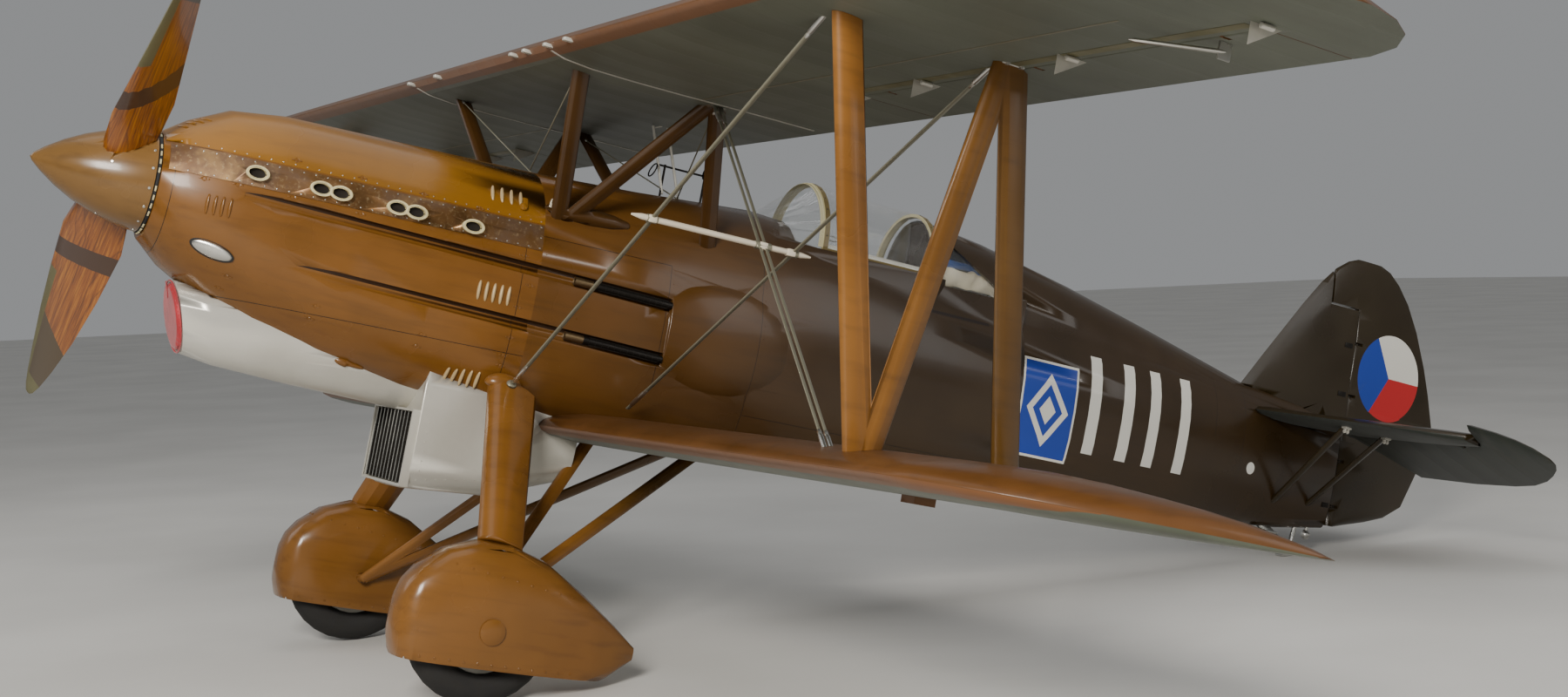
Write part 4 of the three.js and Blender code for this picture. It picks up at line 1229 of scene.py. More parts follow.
def eye_bolt(ring: float, thick: float) -> Piece:
    """A ring bolt that stands on its nut.

    Args:
        ring: The radius of its eye.
        thick: The radius of its wire.

    Returns:
        The bolt.
    """
    eye = hoop((0, 0, ring * 1.6), (1, 1, 1), (90, 0, 0), ring, thick, 20)
    shape(eye, lambda c, n: c.z < ring, spread(1.0, 1.35, 1.0))
    nut = blank(Blank.BAR, (0, 0, 0.004), vertices=6, radius=ring * 0.7, depth=0.008)
    shape(nut, facing("+z"), inset(0.002), push(0.0012))
    return join([eye, nut])


def clevis(width: float, height: float) -> Piece:
    """A forged fork: two rounded lugs on a foot, with a pin and its washers.

    Args:
        width: Half the width of its foot.
        height: Its height to the top of the lugs.

    Returns:
        The fork.
    """
    parts = [blank(Blank.BLOCK, (0, 0, 0.004), (width, width * 0.8, 0.004))]
    shape(parts[0], facing("+z"), inset(width * 0.25), push(0.003))
    drop = (bpy.ops.transform.translate, {"value": (0, 0, -height * 0.4)})
    for side in BOTH:
        lug = blank(Blank.BAR, (side * width * 0.5, 0, height * 0.62), turn=(0, 90, 0), vertices=14,
                    radius=width * 0.5, depth=0.006)
        shape(lug, lambda c, n: c.z < height * 0.55 and abs(n.x) < 0.5, drop)
        shape(lug, facing("x"), inset(0.003), push(0.0012))
        parts.append(lug)
    pin = blank(Blank.BAR, (0, 0, height * 0.62), turn=(0, 90, 0), vertices=10,
                radius=width * 0.18, depth=width * 1.7)
    shape(pin, facing("x"), inset(0.001), extrude(0.003), inset(0.001))
    return join([*parts, pin])


def rod(start: Point, end: Point, radius: float, tip: float = 0.0, sides: int = 10) -> Piece:
    """A round rod between two points with domed or pointed ends.

    Args:
        start: One end.
        end: The other end.
        radius: Its radius.
        tip: How far each end draws out to a point.
        sides: Facets round it.

    Returns:
        The rod.
    """
    run = Vector(end) - Vector(start)
    body = blank(Blank.BAR, (0, 0, run.length / 2), vertices=sides, radius=radius, depth=run.length)
    reach = tip or radius * 0.5
    shape(body, facing("z"), inset(radius * 0.35), push(reach * 0.55), inset(radius * 0.3),
          push(reach * 0.45))
    body.data.transform(at(*start) @ run.to_track_quat("Z", "Y").to_matrix().to_4x4())
    return body


def even(points: Sequence[Point], step: float) -> list[Point]:
    """Places at an even step along a line of straight pieces.

    Args:
        points: The corners of the line.
        step: About how far apart the places lie.

    Returns:
        The places, with both ends of the line.
    """
    out = []
    for (a, b), (c, d) in zip(points, points[1:]):
        count = max(1, round(math.hypot(c - a, d - b) / step))
        out += [(a + (c - a) * i / count, b + (d - b) * i / count) for i in range(count)]
    return [*out, points[-1]]


def swell(piece: Piece, voxel: float, cap: float) -> Piece:
    """Blows a soft piece up a little with the cloth solver, so that it looks filled.

    Args:
        piece: The plain shape.
        voxel: The size of its remeshed faces.
        cap: The furthest that a point may move.

    Returns:
        The piece.
    """
    modify(piece, "REMESH", mode="VOXEL", voxel_size=voxel)
    rest = [v.co.copy() for v in piece.data.vertices]
    cloth = piece.modifiers.new("filling", "CLOTH")
    cloth.settings.use_pressure = True
    cloth.settings.uniform_pressure_force = 4
    cloth.settings.effector_weights.gravity = 0
    for step in range(1, 16):
        bpy.context.scene.frame_set(step)
    bpy.context.view_layer.objects.active = piece
    bpy.ops.object.modifier_apply(modifier=cloth.name)
    bpy.context.scene.frame_set(1)
    for vert, start in zip(piece.data.vertices, rest):
        move = vert.co - start
        if move.length > cap:
            vert.co = start + move.normalized() * cap
    modify(piece, "SMOOTH", factor=0.5, iterations=3)
    return modify(piece, "SUBSURF", levels=1)


# Sub-assemblies


@dataclass
class Assembly:
    """A sub-assembly in the finishes of the aircraft."""

    looks: Looks


@dataclass
class Nose(Assembly):
    """The screws of the spinner, and the padded ring and its seal behind it."""

    screws: int = 16
    screw_rows: tuple[float, float] = (0.462, 0.30)
    pads: int = 36
    ring: float = 0.226
    back: float = 0.487

    def build(self) -> None:
        """Builds the pieces; the screws turn with the propeller."""
        outside = Surface("spinner")
        places = []
        for i in range(self.screws):
            a = 2 * math.pi * (i + 0.5) / self.screws
            away = (math.cos(a), 0, math.sin(a))
            for row, u in enumerate(self.screw_rows):
                if row == 0 or i % 4 == 0:
                    start = (2 * away[0], u, 2 * away[2])
                    places.append(outside.spot(start, (-away[0], 0, -away[2])))
        finish(stamp(screw(0.006), places), "spinner_screws", self.looks.bright, "propeller")
        dash = blank(Blank.BLOCK, size=(0.011, 0.0035, 0.0025))
        shape(dash, facing("+z"), inset(0.0012), push(0.0008))
        ring = [Matrix.Rotation(-2 * math.pi * i / self.pads, 4, "Y") @ at(0, self.back, self.ring)
                for i in range(self.pads) if i % 5 != 2]
        finish(stamp(dash, ring), "cowl_ring_pads", self.looks.cream)
        seal = hoop((0, self.back, 0), (1, 1, 1), (90, 0, 0), self.ring - 0.006, 0.006, 64)
        shape(seal, facing("+y", 0.7), push(0.002))
        finish(seal, "cowl_ring_seal", self.looks.black)


@dataclass
class IntakeCover(Assembly):
    """The stuffed red vinyl pad that closes the duct, with its piped rim and pull tab."""

    middle: tuple[float, float, float] = (0.0, 0.706, -0.5455)
    half: tuple[float, float] = (0.148, 0.157)
    lean: float = 16.7
    pipe: float = 0.152

    def build(self) -> None:
        """Builds the pad in place of its plain solid."""
        turn = (90 + self.lean, 0, 0)
        half = (self.half[0] - 0.006, self.half[1] - 0.006, 0.005)
        pad = blank(Blank.BAR, self.middle, half, turn, vertices=64, radius=1, depth=2)
        swell(pad, 0.005, 0.008)
        pad = finish(pad, "intake_pad", self.looks.red, angle=60)
        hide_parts("intake_cover")
        welt = hoop(self.middle, (self.half[0] / self.pipe, self.half[1] / self.pipe, 1), turn,
                    self.pipe, 0.0042, 72)
        shape(welt, facing("+y", 0.8), push(-0.001))
        tab = blank(Blank.BLOCK, (0, 0.655, -0.43), (0.011, 0.0012, 0.03), (self.lean, 0, 0))
        shape(tab, facing("-z", 0.8), inset(0.0002), extrude(0.012),
              (bpy.ops.transform.resize, {"value": (0.6, 1, 1)}))
        finish(join([welt, tab]), "pad_piping", self.looks.red)


@dataclass
class Cowl(Assembly):
    """Stub rims, louvres, fasteners, rivets and blisters on the engine cowl."""

    stub_first: float = 0.860
    stub_pitch: float = 0.188
    stub_places: tuple = (0, 1.45, 1.9, 3.25, 3.7, 5.1)
    stub_height: float = 0.108
    stub_drop: float = 0.004
    stub_reach: float = 0.022
    half_widths: tuple = ((0.77, 0.328), (1.0, 0.358), (1.3, 0.382), (1.7, 0.402), (2.17, 0.416))
    buttons: tuple = (
        (1.025, 0.205), (1.312, 0.194), (1.591, 0.185), (1.857, 0.179), (0.661, 0.041),
        (0.796, 0.045), (1.027, 0.042), (1.324, 0.036), (0.843, -0.342), (0.831, -0.396),
        (1.223, -0.393), (1.216, -0.45), (1.697, -0.424), (1.688, -0.478), (2.081, -0.443),
        (2.082, -0.491), (2.135, -0.114), (2.096, -0.22), (2.09, -0.359), (2.083, 0.014),
    )
    panel_lines: tuple = (
        ((0.54, 0.158), (2.15, 0.158)), ((0.54, 0.062), (2.15, 0.062)),
        ((2.152, 0.062), (2.152, 0.158)), ((0.56, 0.185), (2.15, 0.185)),
    )
    seam_lines: tuple = (
        ((0.56, -0.25), (0.756, -0.317), (1.005, -0.419), (1.323, -0.44), (1.73, -0.432),
         (2.35, -0.442)),
        ((2.19, -0.62), (2.19, 0.10)), ((2.83, -0.40), (2.83, 0.10)), ((3.32, -0.55), (3.32, 0.3)),
        ((6.35, -0.08), (6.33, 0.2)),
    )
    oval_at: tuple[float, float] = (0.752, -0.248)
    teardrop_at: tuple[float, float] = (1.44, -0.604)
    latch_at: tuple[float, float] = (2.06, 0.232)

    def build(self) -> None:
        """Builds the cowl's small pieces on both sides."""
        outside = Surface("engine_cowl", "cowl_top", "exhaust_panel_left", "exhaust_panel_right",
                          "fuselage_mid", "fuselage_rear")
        self.stubs()
        self.louvres(outside)
        finish(stamp(turn_button(), outside.both(self.buttons)), "turn_buttons", self.looks.cowl)
        for name, lines, step, radius, look in (
            ("panel_rivets", self.panel_lines, 0.052, 0.0042, self.looks.bright),
            ("seam_rivets", self.seam_lines, 0.06, 0.003, self.looks.hull),
        ):
            spots = [spot for line in lines for spot in even(line, step)]
            finish(stamp(rivet(radius), outside.both(spots)), name, look)
        self.inserts(outside)

    def louvres(self, outside: Surface) -> None:
        """Sets the rows of louvres.

        Args:
            outside: The cowl's surface.
        """
        # The top, middle and low rows take the pale lips: a painted highlight where the lips catch
        # the light.
        rows = (
            ("cowl_louvres_front", 0.085, 4, 0.692, 0.03, -0.062, self.looks.cowl),
            ("cowl_louvres_top", 0.08, 4, 1.915, 0.045, 0.268, self.looks.lip),
            ("cowl_louvres_middle", 0.088, 5, 1.905, 0.035, -0.18, self.looks.lip),
            ("cowl_louvres_low", 0.088, 5, 1.862, 0.035, -0.574, self.looks.lip),
        )
        for name, length, count, first, pitch, h, look in rows:
            places = outside.both((first + pitch * i, h) for i in range(count))
            finish(stamp(louvre(length), places), name, look)
        crown = [outside.above(0.09 * sign, 0.57 + 0.03 * i) @ Matrix.Rotation(sign * 0.5, 4, "Z")
                 for i in range(4) for sign in BOTH]
        finish(stamp(louvre(0.075, 0.009, 0.006), crown), "crown_louvres", self.looks.ochre)

    def stubs(self) -> None:
        """Models one flared rim and its dark throat, a sooted disc that is partly painted shade,
        and sets them on every exhaust stub.
        """
        lip = hoop((0, 0, 0), (0.0455, 0.0285, 0.007), (0, 0, 0), 1, 0.11, 40, 10)
        shape(lip, facing("+z", 0.6), push(0.0012))
        tubes = []
        for half, wall in (((0.0405, 0.0235, 0.013), 0.0022), ((0.0465, 0.0295, 0.016), 0.0015)):
            tube = blank(Blank.BAR, (0, 0, -half[2]), half, vertices=40, radius=1, depth=2,
                         end_fill_type="NOTHING")
            # Only the outer tube is long enough to be drawn in at its foot.
            shape(tube, lambda c, n: c.z < -0.03, spread(0.98, 0.98, 1), part=Part.POINTS)
            tubes.append(modify(tube, "SOLIDIFY", thickness=wall, offset=-1))
        places, mouths = [], []
        for k in self.stub_places:
            u = self.stub_first + k * self.stub_pitch
            h = self.stub_height - self.stub_drop * k
            x = read_off(self.half_widths, u) + self.stub_reach
            for sign in BOTH:
                turn = Matrix(((0, 0, sign, sign * x), (1, 0, 0, u), (0, 1, 0, h), (0, 0, 0, 1)))
                places.append(turn @ at(0, 0, 0.001))
                mouths.append(turn @ at(0.006, 0, -0.022))
        finish(stamp(join([lip, *tubes]), places), "stub_rims", self.looks.rim)
        # A dark disc closes each stub's mouth: soot, and painted shade of the deep throat.
        shade = blank(Blank.BAR, size=(0.038, 0.021, 0.004), vertices=30, radius=1, depth=1)
        shape(shade, facing("+z"), inset(0.006), push(-0.003))
        finish(stamp(shade, mouths), "stub_throats", self.looks.soot)

    def inserts(self, outside: Surface) -> None:
        """Adds the bright oval, the teardrop blister and the latch.

        Args:
            outside: The cowl's surface.
        """
        oval = ball((0.09, 0.032, 0.012), sides=40, rings=16)
        shape(oval, lambda c, n: c.z < 0, spread(1, 1, 0.15))
        frame = hoop((0, 0, 0), (0.094, 0.036, 0.06), (0, 0, 0), 1, 0.045, 48)
        shape(frame, facing("+z", 0.6), push(-0.0006))
        spots = [outside.side(*self.oval_at, s) @ Matrix.Rotation(math.radians(-6 * s), 4, "Z")
                 for s in BOTH]
        finish(stamp(oval, spots), "oval_plate", self.looks.bright)
        finish(stamp(frame, spots), "oval_frame", self.looks.black)
        drop = ball((0.058, 0.02, 0.022))
        shape(drop, lambda c, n: c.x > 0.01, spread(1.5, 0.6, 0.6))
        finish(stamp(drop, outside.both([self.teardrop_at])), "teardrop", self.looks.cowl)
        knob = ball((0.02, 0.02, 0.014), (0, 0, 0.008), 20, 10)
        shape(knob, lambda c, n: c.z > 0.015, inset(0.003), push(-0.002))
        strap = blank(Blank.BLOCK, (0.01, 0.02, 0.004), (0.012, 0.03, 0.003))
        shape(strap, facing("+z"), inset(0.003), push(0.0015))
        latches = stamp(join([knob, strap]), outside.both([self.latch_at]))
        finish(latches, "cowl_latches", self.looks.ochre)


@dataclass
class Guns(Assembly):
    """Bright muzzles and pierced jackets in the troughs.

    Each line is a trough: where it starts, then its h and its x at the front and at the back.
    """

    radius: float = 0.0195
    back: float = 2.830
    muzzle: float = 2.400
    lines: tuple = ((0.83, 0.008, -0.066, 0.352, 0.432), (1.09, -0.25, -0.32, 0.372, 0.428))

    def place(self, line: Point, sign: int, u: float) -> Vector:
        """The middle of a trough.

        Args:
            line: The trough, as in the class's table.
            sign: Port (1) or starboard (-1).
            u: Where along the aircraft.

        Returns:
            The point in level axes.
        """
        front, h0, h1, x0, x1 = line
        share = (u - front) / (self.back - front)
        return Vector((sign * (x0 + (x1 - x0) * share), u, h0 + (h1 - h0) * share))

    def build(self) -> None:
        """Builds one jacket and one muzzle and sets them in all four troughs."""
        jacket = blank(Blank.BAR, vertices=12, radius=self.radius + 0.0015, depth=0.032,
                       end_fill_type="NOTHING")
        shape(jacket, lambda c, n: round(math.degrees(math.atan2(n.y, n.x)) / 30) % 2 == 0,
              inset(0.0028), push(-0.003), (bpy.ops.mesh.delete, {"type": "FACE"}))
        modify(jacket, "SOLIDIFY", thickness=0.0015, offset=-1)
        modify(jacket, "ARRAY", count=11, use_relative_offset=False, use_constant_offset=True,
               constant_offset_displace=(0, 0, 0.032))
        sleeve = blank(Blank.BAR, vertices=24, radius=self.radius, depth=0.09)
        shape(sleeve, facing("-z"), inset(0.004), push(-0.004), inset(0.006), extrude(-0.05))
        shape(sleeve, facing("+z"), inset(0.003), extrude(0.006))
        jackets, muzzles = [], []
        for line in self.lines:
            for sign in BOTH:
                run = self.place(line, sign, self.back) - self.place(line, sign, self.muzzle)
                turn = run.to_track_quat("Z", "Y").to_matrix().to_4x4()
                jackets.append(at(*self.place(line, sign, self.muzzle + 0.075)) @ turn)
                muzzles.append(at(*self.place(line, sign, self.muzzle - 0.015)) @ turn)
        finish(stamp(jacket, jackets), "gun_jackets", self.looks.gun)
        finish(stamp(sleeve, muzzles), "gun_muzzles", self.looks.muzzle)


@dataclass
class Fittings(Assembly):
    """Forks, terminals and cross wires at the ends of struts and stays."""

    wire: float = 0.0035
    heads: tuple = ((0.811, 2.021, 0.864), (0.811, 2.689, 0.84), (2.981, 2.08, 0.862),
                    (2.981, 2.79, 0.836))
    stays: tuple = (
        ((0.446, 2.12, -0.572), (2.911, 2.08, 0.851)),
        ((0.446, 2.70, -0.572), (2.911, 2.79, 0.851)),
        ((0.801, 2.675, 0.851), (2.74, 2.487, -0.696)),
        ((0.801, 2.703, 0.851), (2.74, 2.515, -0.696)),
    )
    cross_wires: tuple = (((0.79, 2.03, 0.835), (-0.1, 2.2, 0.40)),
                          ((0.79, 2.70, 0.80), (-0.08, 2.98, 0.46)))
    ring_feet: tuple = ((0.34, 2.345), (0.352, 2.185))
    ring_height: float = 0.262
    spacer: tuple[float, float] = (1.6868, 0.1443)
    spacer_ends: tuple[float, float] = (2.055, 2.785)
    clamps: tuple[float, float, float] = (2.10, 2.603, 2.735)

    def build(self) -> None:
        """Builds the fittings of both sides."""
        places = [at(sign * x, u, h) @ Matrix.Rotation(math.pi, 4, "X")
                  for x, u, h in self.heads for sign in BOTH]
        cap = blank(Blank.BLOCK, (0, 0, 0.012), (0.026, 0.05, 0.014))
        shape(cap, None, bevel(0.006, 2), part=Part.EDGES)
        bolt = blank(Blank.BAR, (0, 0.03, 0.02), turn=(0, 90, 0), vertices=6, radius=0.009,
                     depth=0.07)
        shape(bolt, facing("x"), inset(0.002), extrude(0.004))
        block = join([cap, bolt, copy_at(bolt, at(0, -0.06, 0))])
        finish(stamp(block, places), "strut_head_fittings", self.looks.bright)
        parts = []
        clear, sleeve, nut = 0.045, 0.11, 0.14
        for a, b in self.stays:
            for start, goal in ((a, b), (b, a)):
                line = (Vector(goal) - Vector(start)).normalized()
                first = Vector(start) + line * clear
                parts.append(rod(first, first + line * sleeve, 0.011, 0.02))
                parts.append(rod(first + line * sleeve, first + line * nut, 0.0085, 0.01, 6))
        finish(port_and_starboard(join(parts)), "stay_terminals", self.looks.bright)
        feet = [at(s * x, u, self.ring_height) @ Matrix.Rotation(math.radians(20 * s), 4, "Y")
                for x, u in self.ring_feet for s in BOTH]
        finish(stamp(eye_bolt(0.014, 0.0045), feet), "foot_rings", self.looks.rod)
        self.wires()

    def wires(self) -> None:
        """Builds the cross wires of the centre section and the rod that spaces the outer ones."""
        wires = [rod(a, b, self.wire, 0.004, 6) for a, b in self.cross_wires]
        ends = []
        for a, b in self.cross_wires:
            line = (Vector(b) - Vector(a)).normalized()
            ends.append(rod(Vector(a) + line * 0.01, Vector(a) + line * 0.07, 0.008, 0.01, 8))
        finish(port_and_starboard(join(wires)), "cabane_cross_wires", self.looks.wire)
        finish(port_and_starboard(join(ends)), "cross_wire_terminals", self.looks.bright)
        x, h = self.spacer
        front, back = self.spacer_ends
        bar = rod((x, front, h), (x, back, h), 0.0125, 0.045, 14)
        finish(port_and_starboard(bar), "spacer_rod", self.looks.rod)
        clamp = blank(Blank.BLOCK, size=(0.017, 0.02, 0.0155))
        shape(clamp, None, bevel(0.007, 2), part=Part.EDGES)
        spots = [at(s * x, u, h) for u in self.clamps for s in BOTH]
        finish(stamp(clamp, spots), "rod_clamps", self.looks.rod)


@dataclass
class WingTrim(Assembly):
    """Bright strips, hinge brackets, control horns and clips under the upper wing."""

    hinges: tuple = (1.84, 2.363, 3.29, 4.269)
    hinge_line: float = 2.80
    horn: tuple[float, float, float] = (4.01, 2.905, 0.79)
    clips: tuple = (-0.92, -0.514, 0.514, 0.673, 0.92, 1.143)
    clip_line: tuple[float, float] = (1.828, 0.858)

    def strip(self, shell: Piece, middle: Point, half: Point, thick: float,
              cuts: tuple[int, int]) -> Piece:
        """A metal strip pressed on to the underside of the wing.

        Args:
            shell: The wing's surface in level axes.
            middle: Its middle in x and u.
            half: Its half sizes in x and u.
            thick: Half its thickness.
            cuts: Divisions along x and u.

        Returns:
            The strip.
        """
        band = blank(Blank.SHEET, (*middle, 0.3), (*half, 1), x_subdivisions=cuts[0],
                     y_subdivisions=cuts[1])
        modify(band, "SHRINKWRAP", target=shell, wrap_method="PROJECT", use_project_z=True,
               use_positive_direction=True, use_negative_direction=False)
        return modify(band, "SOLIDIFY", thickness=thick * 2, offset=0)

    def build(self) -> None:
        """Builds the trim of both wings."""
        wing = Surface("wing_upper_left", "wing_upper_centre", "aileron_left")
        shell = wing.shell()
        for name, middle, half, thick, cuts, look in (
            ("wing_joint_strips", (0.9, 2.50), (0.007, 0.655), 0.003, (1, 40), self.looks.duct),
            ("aileron_gap_strips", (3.05, 2.79), (1.2, 0.022), 0.0015, (60, 1), self.looks.sheath),
            ("spar_tapes", (2.4, 2.575), (1.48, 0.005), 0.0015, (60, 1), self.looks.wire),
        ):
            strip = self.strip(shell, middle, half, thick, cuts)
            finish(port_and_starboard(strip), name, look, angle=60)
        bpy.data.objects.remove(shell)
        bracket = blank(Blank.CONE, (0, 0.02, 0), (1, 1, 0.25), (90, 90, 0), vertices=3,
                        radius1=0.085, radius2=0.07, depth=0.008)
        shape(bracket, facing("x", 0.5), inset(0.008), push(-0.002))
        pin = blank(Blank.BAR, (0, 0.05, 0.012), turn=(0, 90, 0), vertices=12, radius=0.01,
                    depth=0.05)
        shape(pin, facing("x"), inset(0.003), push(0.002))
        places = [wing.under(x, self.hinge_line) for x in self.hinges]
        brackets = port_and_starboard(stamp(join([bracket, pin]), places))
        finish(brackets, "aileron_brackets", self.looks.duct)
        arm = rod((3.868, 2.66, 0.775), (4.01, 2.885, 0.783), 0.008, 0.02, 8)
        finish(port_and_starboard(arm), "aileron_pushrods", self.looks.bright)
        for side, sign in SIDES.items():
            x, u, h = self.horn
            horn = blank(Blank.BLOCK, (sign * x, u, h), (0.004, 0.025, 0.026))
            shape(horn, facing("-z"), inset(0.001), push(0.006))
            finish(horn, f"aileron_horn_{side}", self.looks.bright, f"aileron_{side}")
        clip = blank(Blank.BLOCK, size=(0.016, 0.03, 0.008))
        shape(clip, None, bevel(0.004, 2), part=Part.EDGES)
        clips = stamp(clip, [at(x, *self.clip_line) for x in self.clips])
        finish(clips, "edge_clips", self.looks.duct)


@dataclass
class Cockpit(Assembly):
    """The pilot's place: cushion, belts, dials, head panel and the cloth stowed behind the seat."""

    dial_spots: tuple = ((-0.2, 0.24), (-0.1, 0.25), (0.0, 0.26), (0.1, 0.25), (0.2, 0.24),
                         (-0.12, 0.14), (0.12, 0.14))
    dial_face: float = 3.506
    head: tuple[float, float, float] = (0, 4.345, 0.5)

    def build(self) -> None:
        """Builds what shows through the hood and the side windows."""
        for name, middle, half, way, rise, cap in (
            ("seat_cushion", (0, 4.085, -0.272), (0.165, 0.12, 0.02), "+z", 0.01, 0.012),
            ("seat_back_pad", (0, 4.212, 0.0), (0.165, 0.015, 0.19), "-y", 0.008, 0.01),
        ):
            pad = shape(blank(Blank.BLOCK, middle, half), facing(way), inset(0.03), push(rise))
            pad = finish(swell(pad, 0.008, cap), name, self.looks.leather, angle=60)
        self.belts()
        self.dials()
        panel = blank(Blank.BAR, self.head, (0.235, 0.19, 0.006), (90, 0, 0), vertices=40,
                      radius=1, depth=1)
        shape(panel, lambda c, n: c.z < self.head[2], spread(1, 1, 0.55, self.head))
        shape(panel, facing("-y"), inset(0.015), push(-0.002))
        # The head panel is in the lightened grey: painted light.
        finish(panel, "head_panel", self.looks.interior_painted_light)
        cream = self.bundle("cream_bundle", (0.0, 4.57, 0.42), (0.192, 0.2, 0.055), 0.105)
        cream = finish(cream, "cream_bundle", self.looks.canvas, angle=60)
        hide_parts("stowed_cloth")
        blue = self.bundle("blue_bundle", (0.035, 4.53, 0.492), (0.135, 0.14, 0.03), 0.125)
        blue = finish(blue, "blue_bundle", self.looks.blue_wool, angle=60)

    def bundle(self, name: str, middle: Point, half: Point, pitch: float) -> Piece:
        """Models a slack bundle of folded cloth.

        Args:
            name: Its name.
            middle: Its middle.
            half: Its half sizes.
            pitch: How far apart its folds lie.

        Returns:
            The bundle.
        """
        piece = blank(Blank.BLOCK, middle, half)
        modify(piece, "REMESH", mode="VOXEL", voxel_size=0.008)
        modify(piece, "SMOOTH", factor=0.5, iterations=6)
        folds = bpy.data.textures.new(name + "_folds", "WOOD")
        folds.wood_type, folds.noise_scale, folds.turbulence = "BANDNOISE", pitch, 6.0
        modify(piece, "DISPLACE", texture=folds, strength=0.03, mid_level=0.6,
               texture_coords="LOCAL")
        modify(piece, "SMOOTH", factor=0.5, iterations=2)
        return modify(piece, "SUBSURF", levels=1)

    def belts(self) -> None:
        """Lays the lap and shoulder straps on the seat."""
        straps = []
        for sign in BOTH:
            strap = blank(Blank.BLOCK, (-0.09 * sign, 4.188, -0.005), (0.022, 0.0018, 0.195))
            shape(strap, None, divide(6))
            straps.append(shape(strap, facing("z"), push(0.004)))
        for sign in BOTH:
            strap = blank(Blank.BLOCK, (sign * 0.1, 4.07, -0.232), (0.07, 0.022, 0.0018),
                          (0, 6 * sign, 14))
            straps.append(shape(strap, facing("x"), push(0.004)))
        finish(join(straps), "seat_straps", self.looks.webbing)
        buckle = hoop((0, 4.06, -0.222), (1, 0.7, 0.5), (0, 0, 0), 0.026, 0.006)
        shape(buckle, facing("+z", 0.7), push(0.001))
        finish(buckle, "buckle", self.looks.bright)

    def dials(self) -> None:
        """Sets seven dials on the instrument panel."""
        spots = [at(x, self.dial_face, h) for x, h in self.dial_spots]
        bezel = blank(Blank.BAR, turn=(90, 0, 0), vertices=32, radius=0.04, depth=0.012)
        shape(bezel, facing("+y"), inset(0.005), push(-0.004))
        finish(stamp(bezel, spots), "dial_bezels", self.looks.cream)
        face = blank(Blank.BAR, (0, 0.0045, 0), turn=(90, 0, 0), vertices=32, radius=0.034,
                     depth=0.003)
        shape(face, facing("+y"), inset(0.004), push(-0.0005))
        finish(stamp(face, spots), "dial_faces", self.looks.black)
        hand = blank(Blank.BLOCK, (0.006, 0.0065, 0.010), (0.0012, 0.0008, 0.012), (0, 28, 0))
        shape(hand, facing("+z"), inset(0.0002), push(0.004))
        finish(stamp(hand, spots), "dial_hands", self.looks.duct)


@dataclass
class Hood(Assembly):
    """Edge beads and rivets of the bows, the rails, the sights and the windscreen's bead."""

    sill: float = 0.40
    rivets: int = 13
    posts: tuple = (
        ((0, 2.87, 0.50), (0, 2.76, 0.81), 0.007, 0.006, 8),
        ((0, 2.965, 0.475), (0, 2.83, 0.84), 0.007, 0.006, 8),
        ((0, 2.77, 0.803), (0, 2.835, 0.832), 0.0035, 0.004, 8),
    )
    ring: tuple[float, float, float] = (0, 2.80, 0.60)
    bows: tuple = ((3.6405, 0.727, 0.287, 0.012), (4.3115, 0.709, 0.287, 0.012))
    screen_bow: tuple = (3.6245, 0.722, 0.286, 0.008)
    rivet_rows: tuple[float, float] = (3.655, 4.295)
    rail: tuple[float, float, float] = (0.272, 3.975, 0.402)
    grip: tuple[float, float, float] = (0.262, 3.70, 0.45)

    def bow(self, u: float, top: float, half: float, tube: float) -> Piece:
        """A bent tube in the shape of a bow.

        Args:
            u: Its place.
            top: The height of its crown.
            half: Its half width.
            tube: Its radius as a share of the bow's own.

        Returns:
            The bow.
        """
        ring = hoop((0, 0, 0), (1, 1, 1), (90, 0, 0), 1, tube, 64)
        shape(ring, None, slice_off((0, 0, -0.02), (0, 0, 1), inner=True))
        ring.data.transform(at(0, u, self.sill) @ Matrix.Diagonal((half, 1, top - self.sill, 1)))
        return ring

    def build(self) -> None:
        """Builds the hood's trim, on the hood and on the airframe."""
        outside = Surface("canopy_frame")
        beads = join([self.bow(*row) for row in self.bows])
        finish(beads, "hood_bow_beads", self.looks.cream, "canopy", angle=60)
        spots = []
        for u in self.rivet_rows:
            for i in range(self.rivets):
                a = math.pi * (i + 0.5) / self.rivets
                away = Vector((math.cos(a), 0, math.sin(a)))
                spots.append(outside.spot(Vector((0, u, 0.42)) + away, -away))
        finish(stamp(rivet(0.0045), spots), "hood_rivets", self.looks.black, "canopy")
        x, u, h = self.rail
        rails = [shape(blank(Blank.BLOCK, (sign * x, u, h), (0.004, 0.30, 0.014)), facing("x"),
                       inset(0.004), push(-0.0015)) for sign in BOTH]
        finish(join(rails), "hood_rails", self.looks.duct, "canopy")
        grip = hoop(self.grip, (0.4, 1, 0.6), (0, 90, 0), 0.03, 0.006)
        shape(grip, lambda c, n: c.x < self.grip[0], push(0.001))
        finish(grip, "hood_grip", self.looks.bright, "canopy")
        finish(join([rod(*post) for post in self.posts]), "sight_posts", self.looks.duct)
        sight = hoop(self.ring, (1, 1, 1), (72, 0, 0), 0.035, 0.0035, 28)
        shape(sight, facing("+y"), push(0.0005))
        finish(sight, "ring_sight", self.looks.gun)
        bead = self.bow(*self.screen_bow)
        finish(bead, "windscreen_bead", self.looks.cream, angle=60)


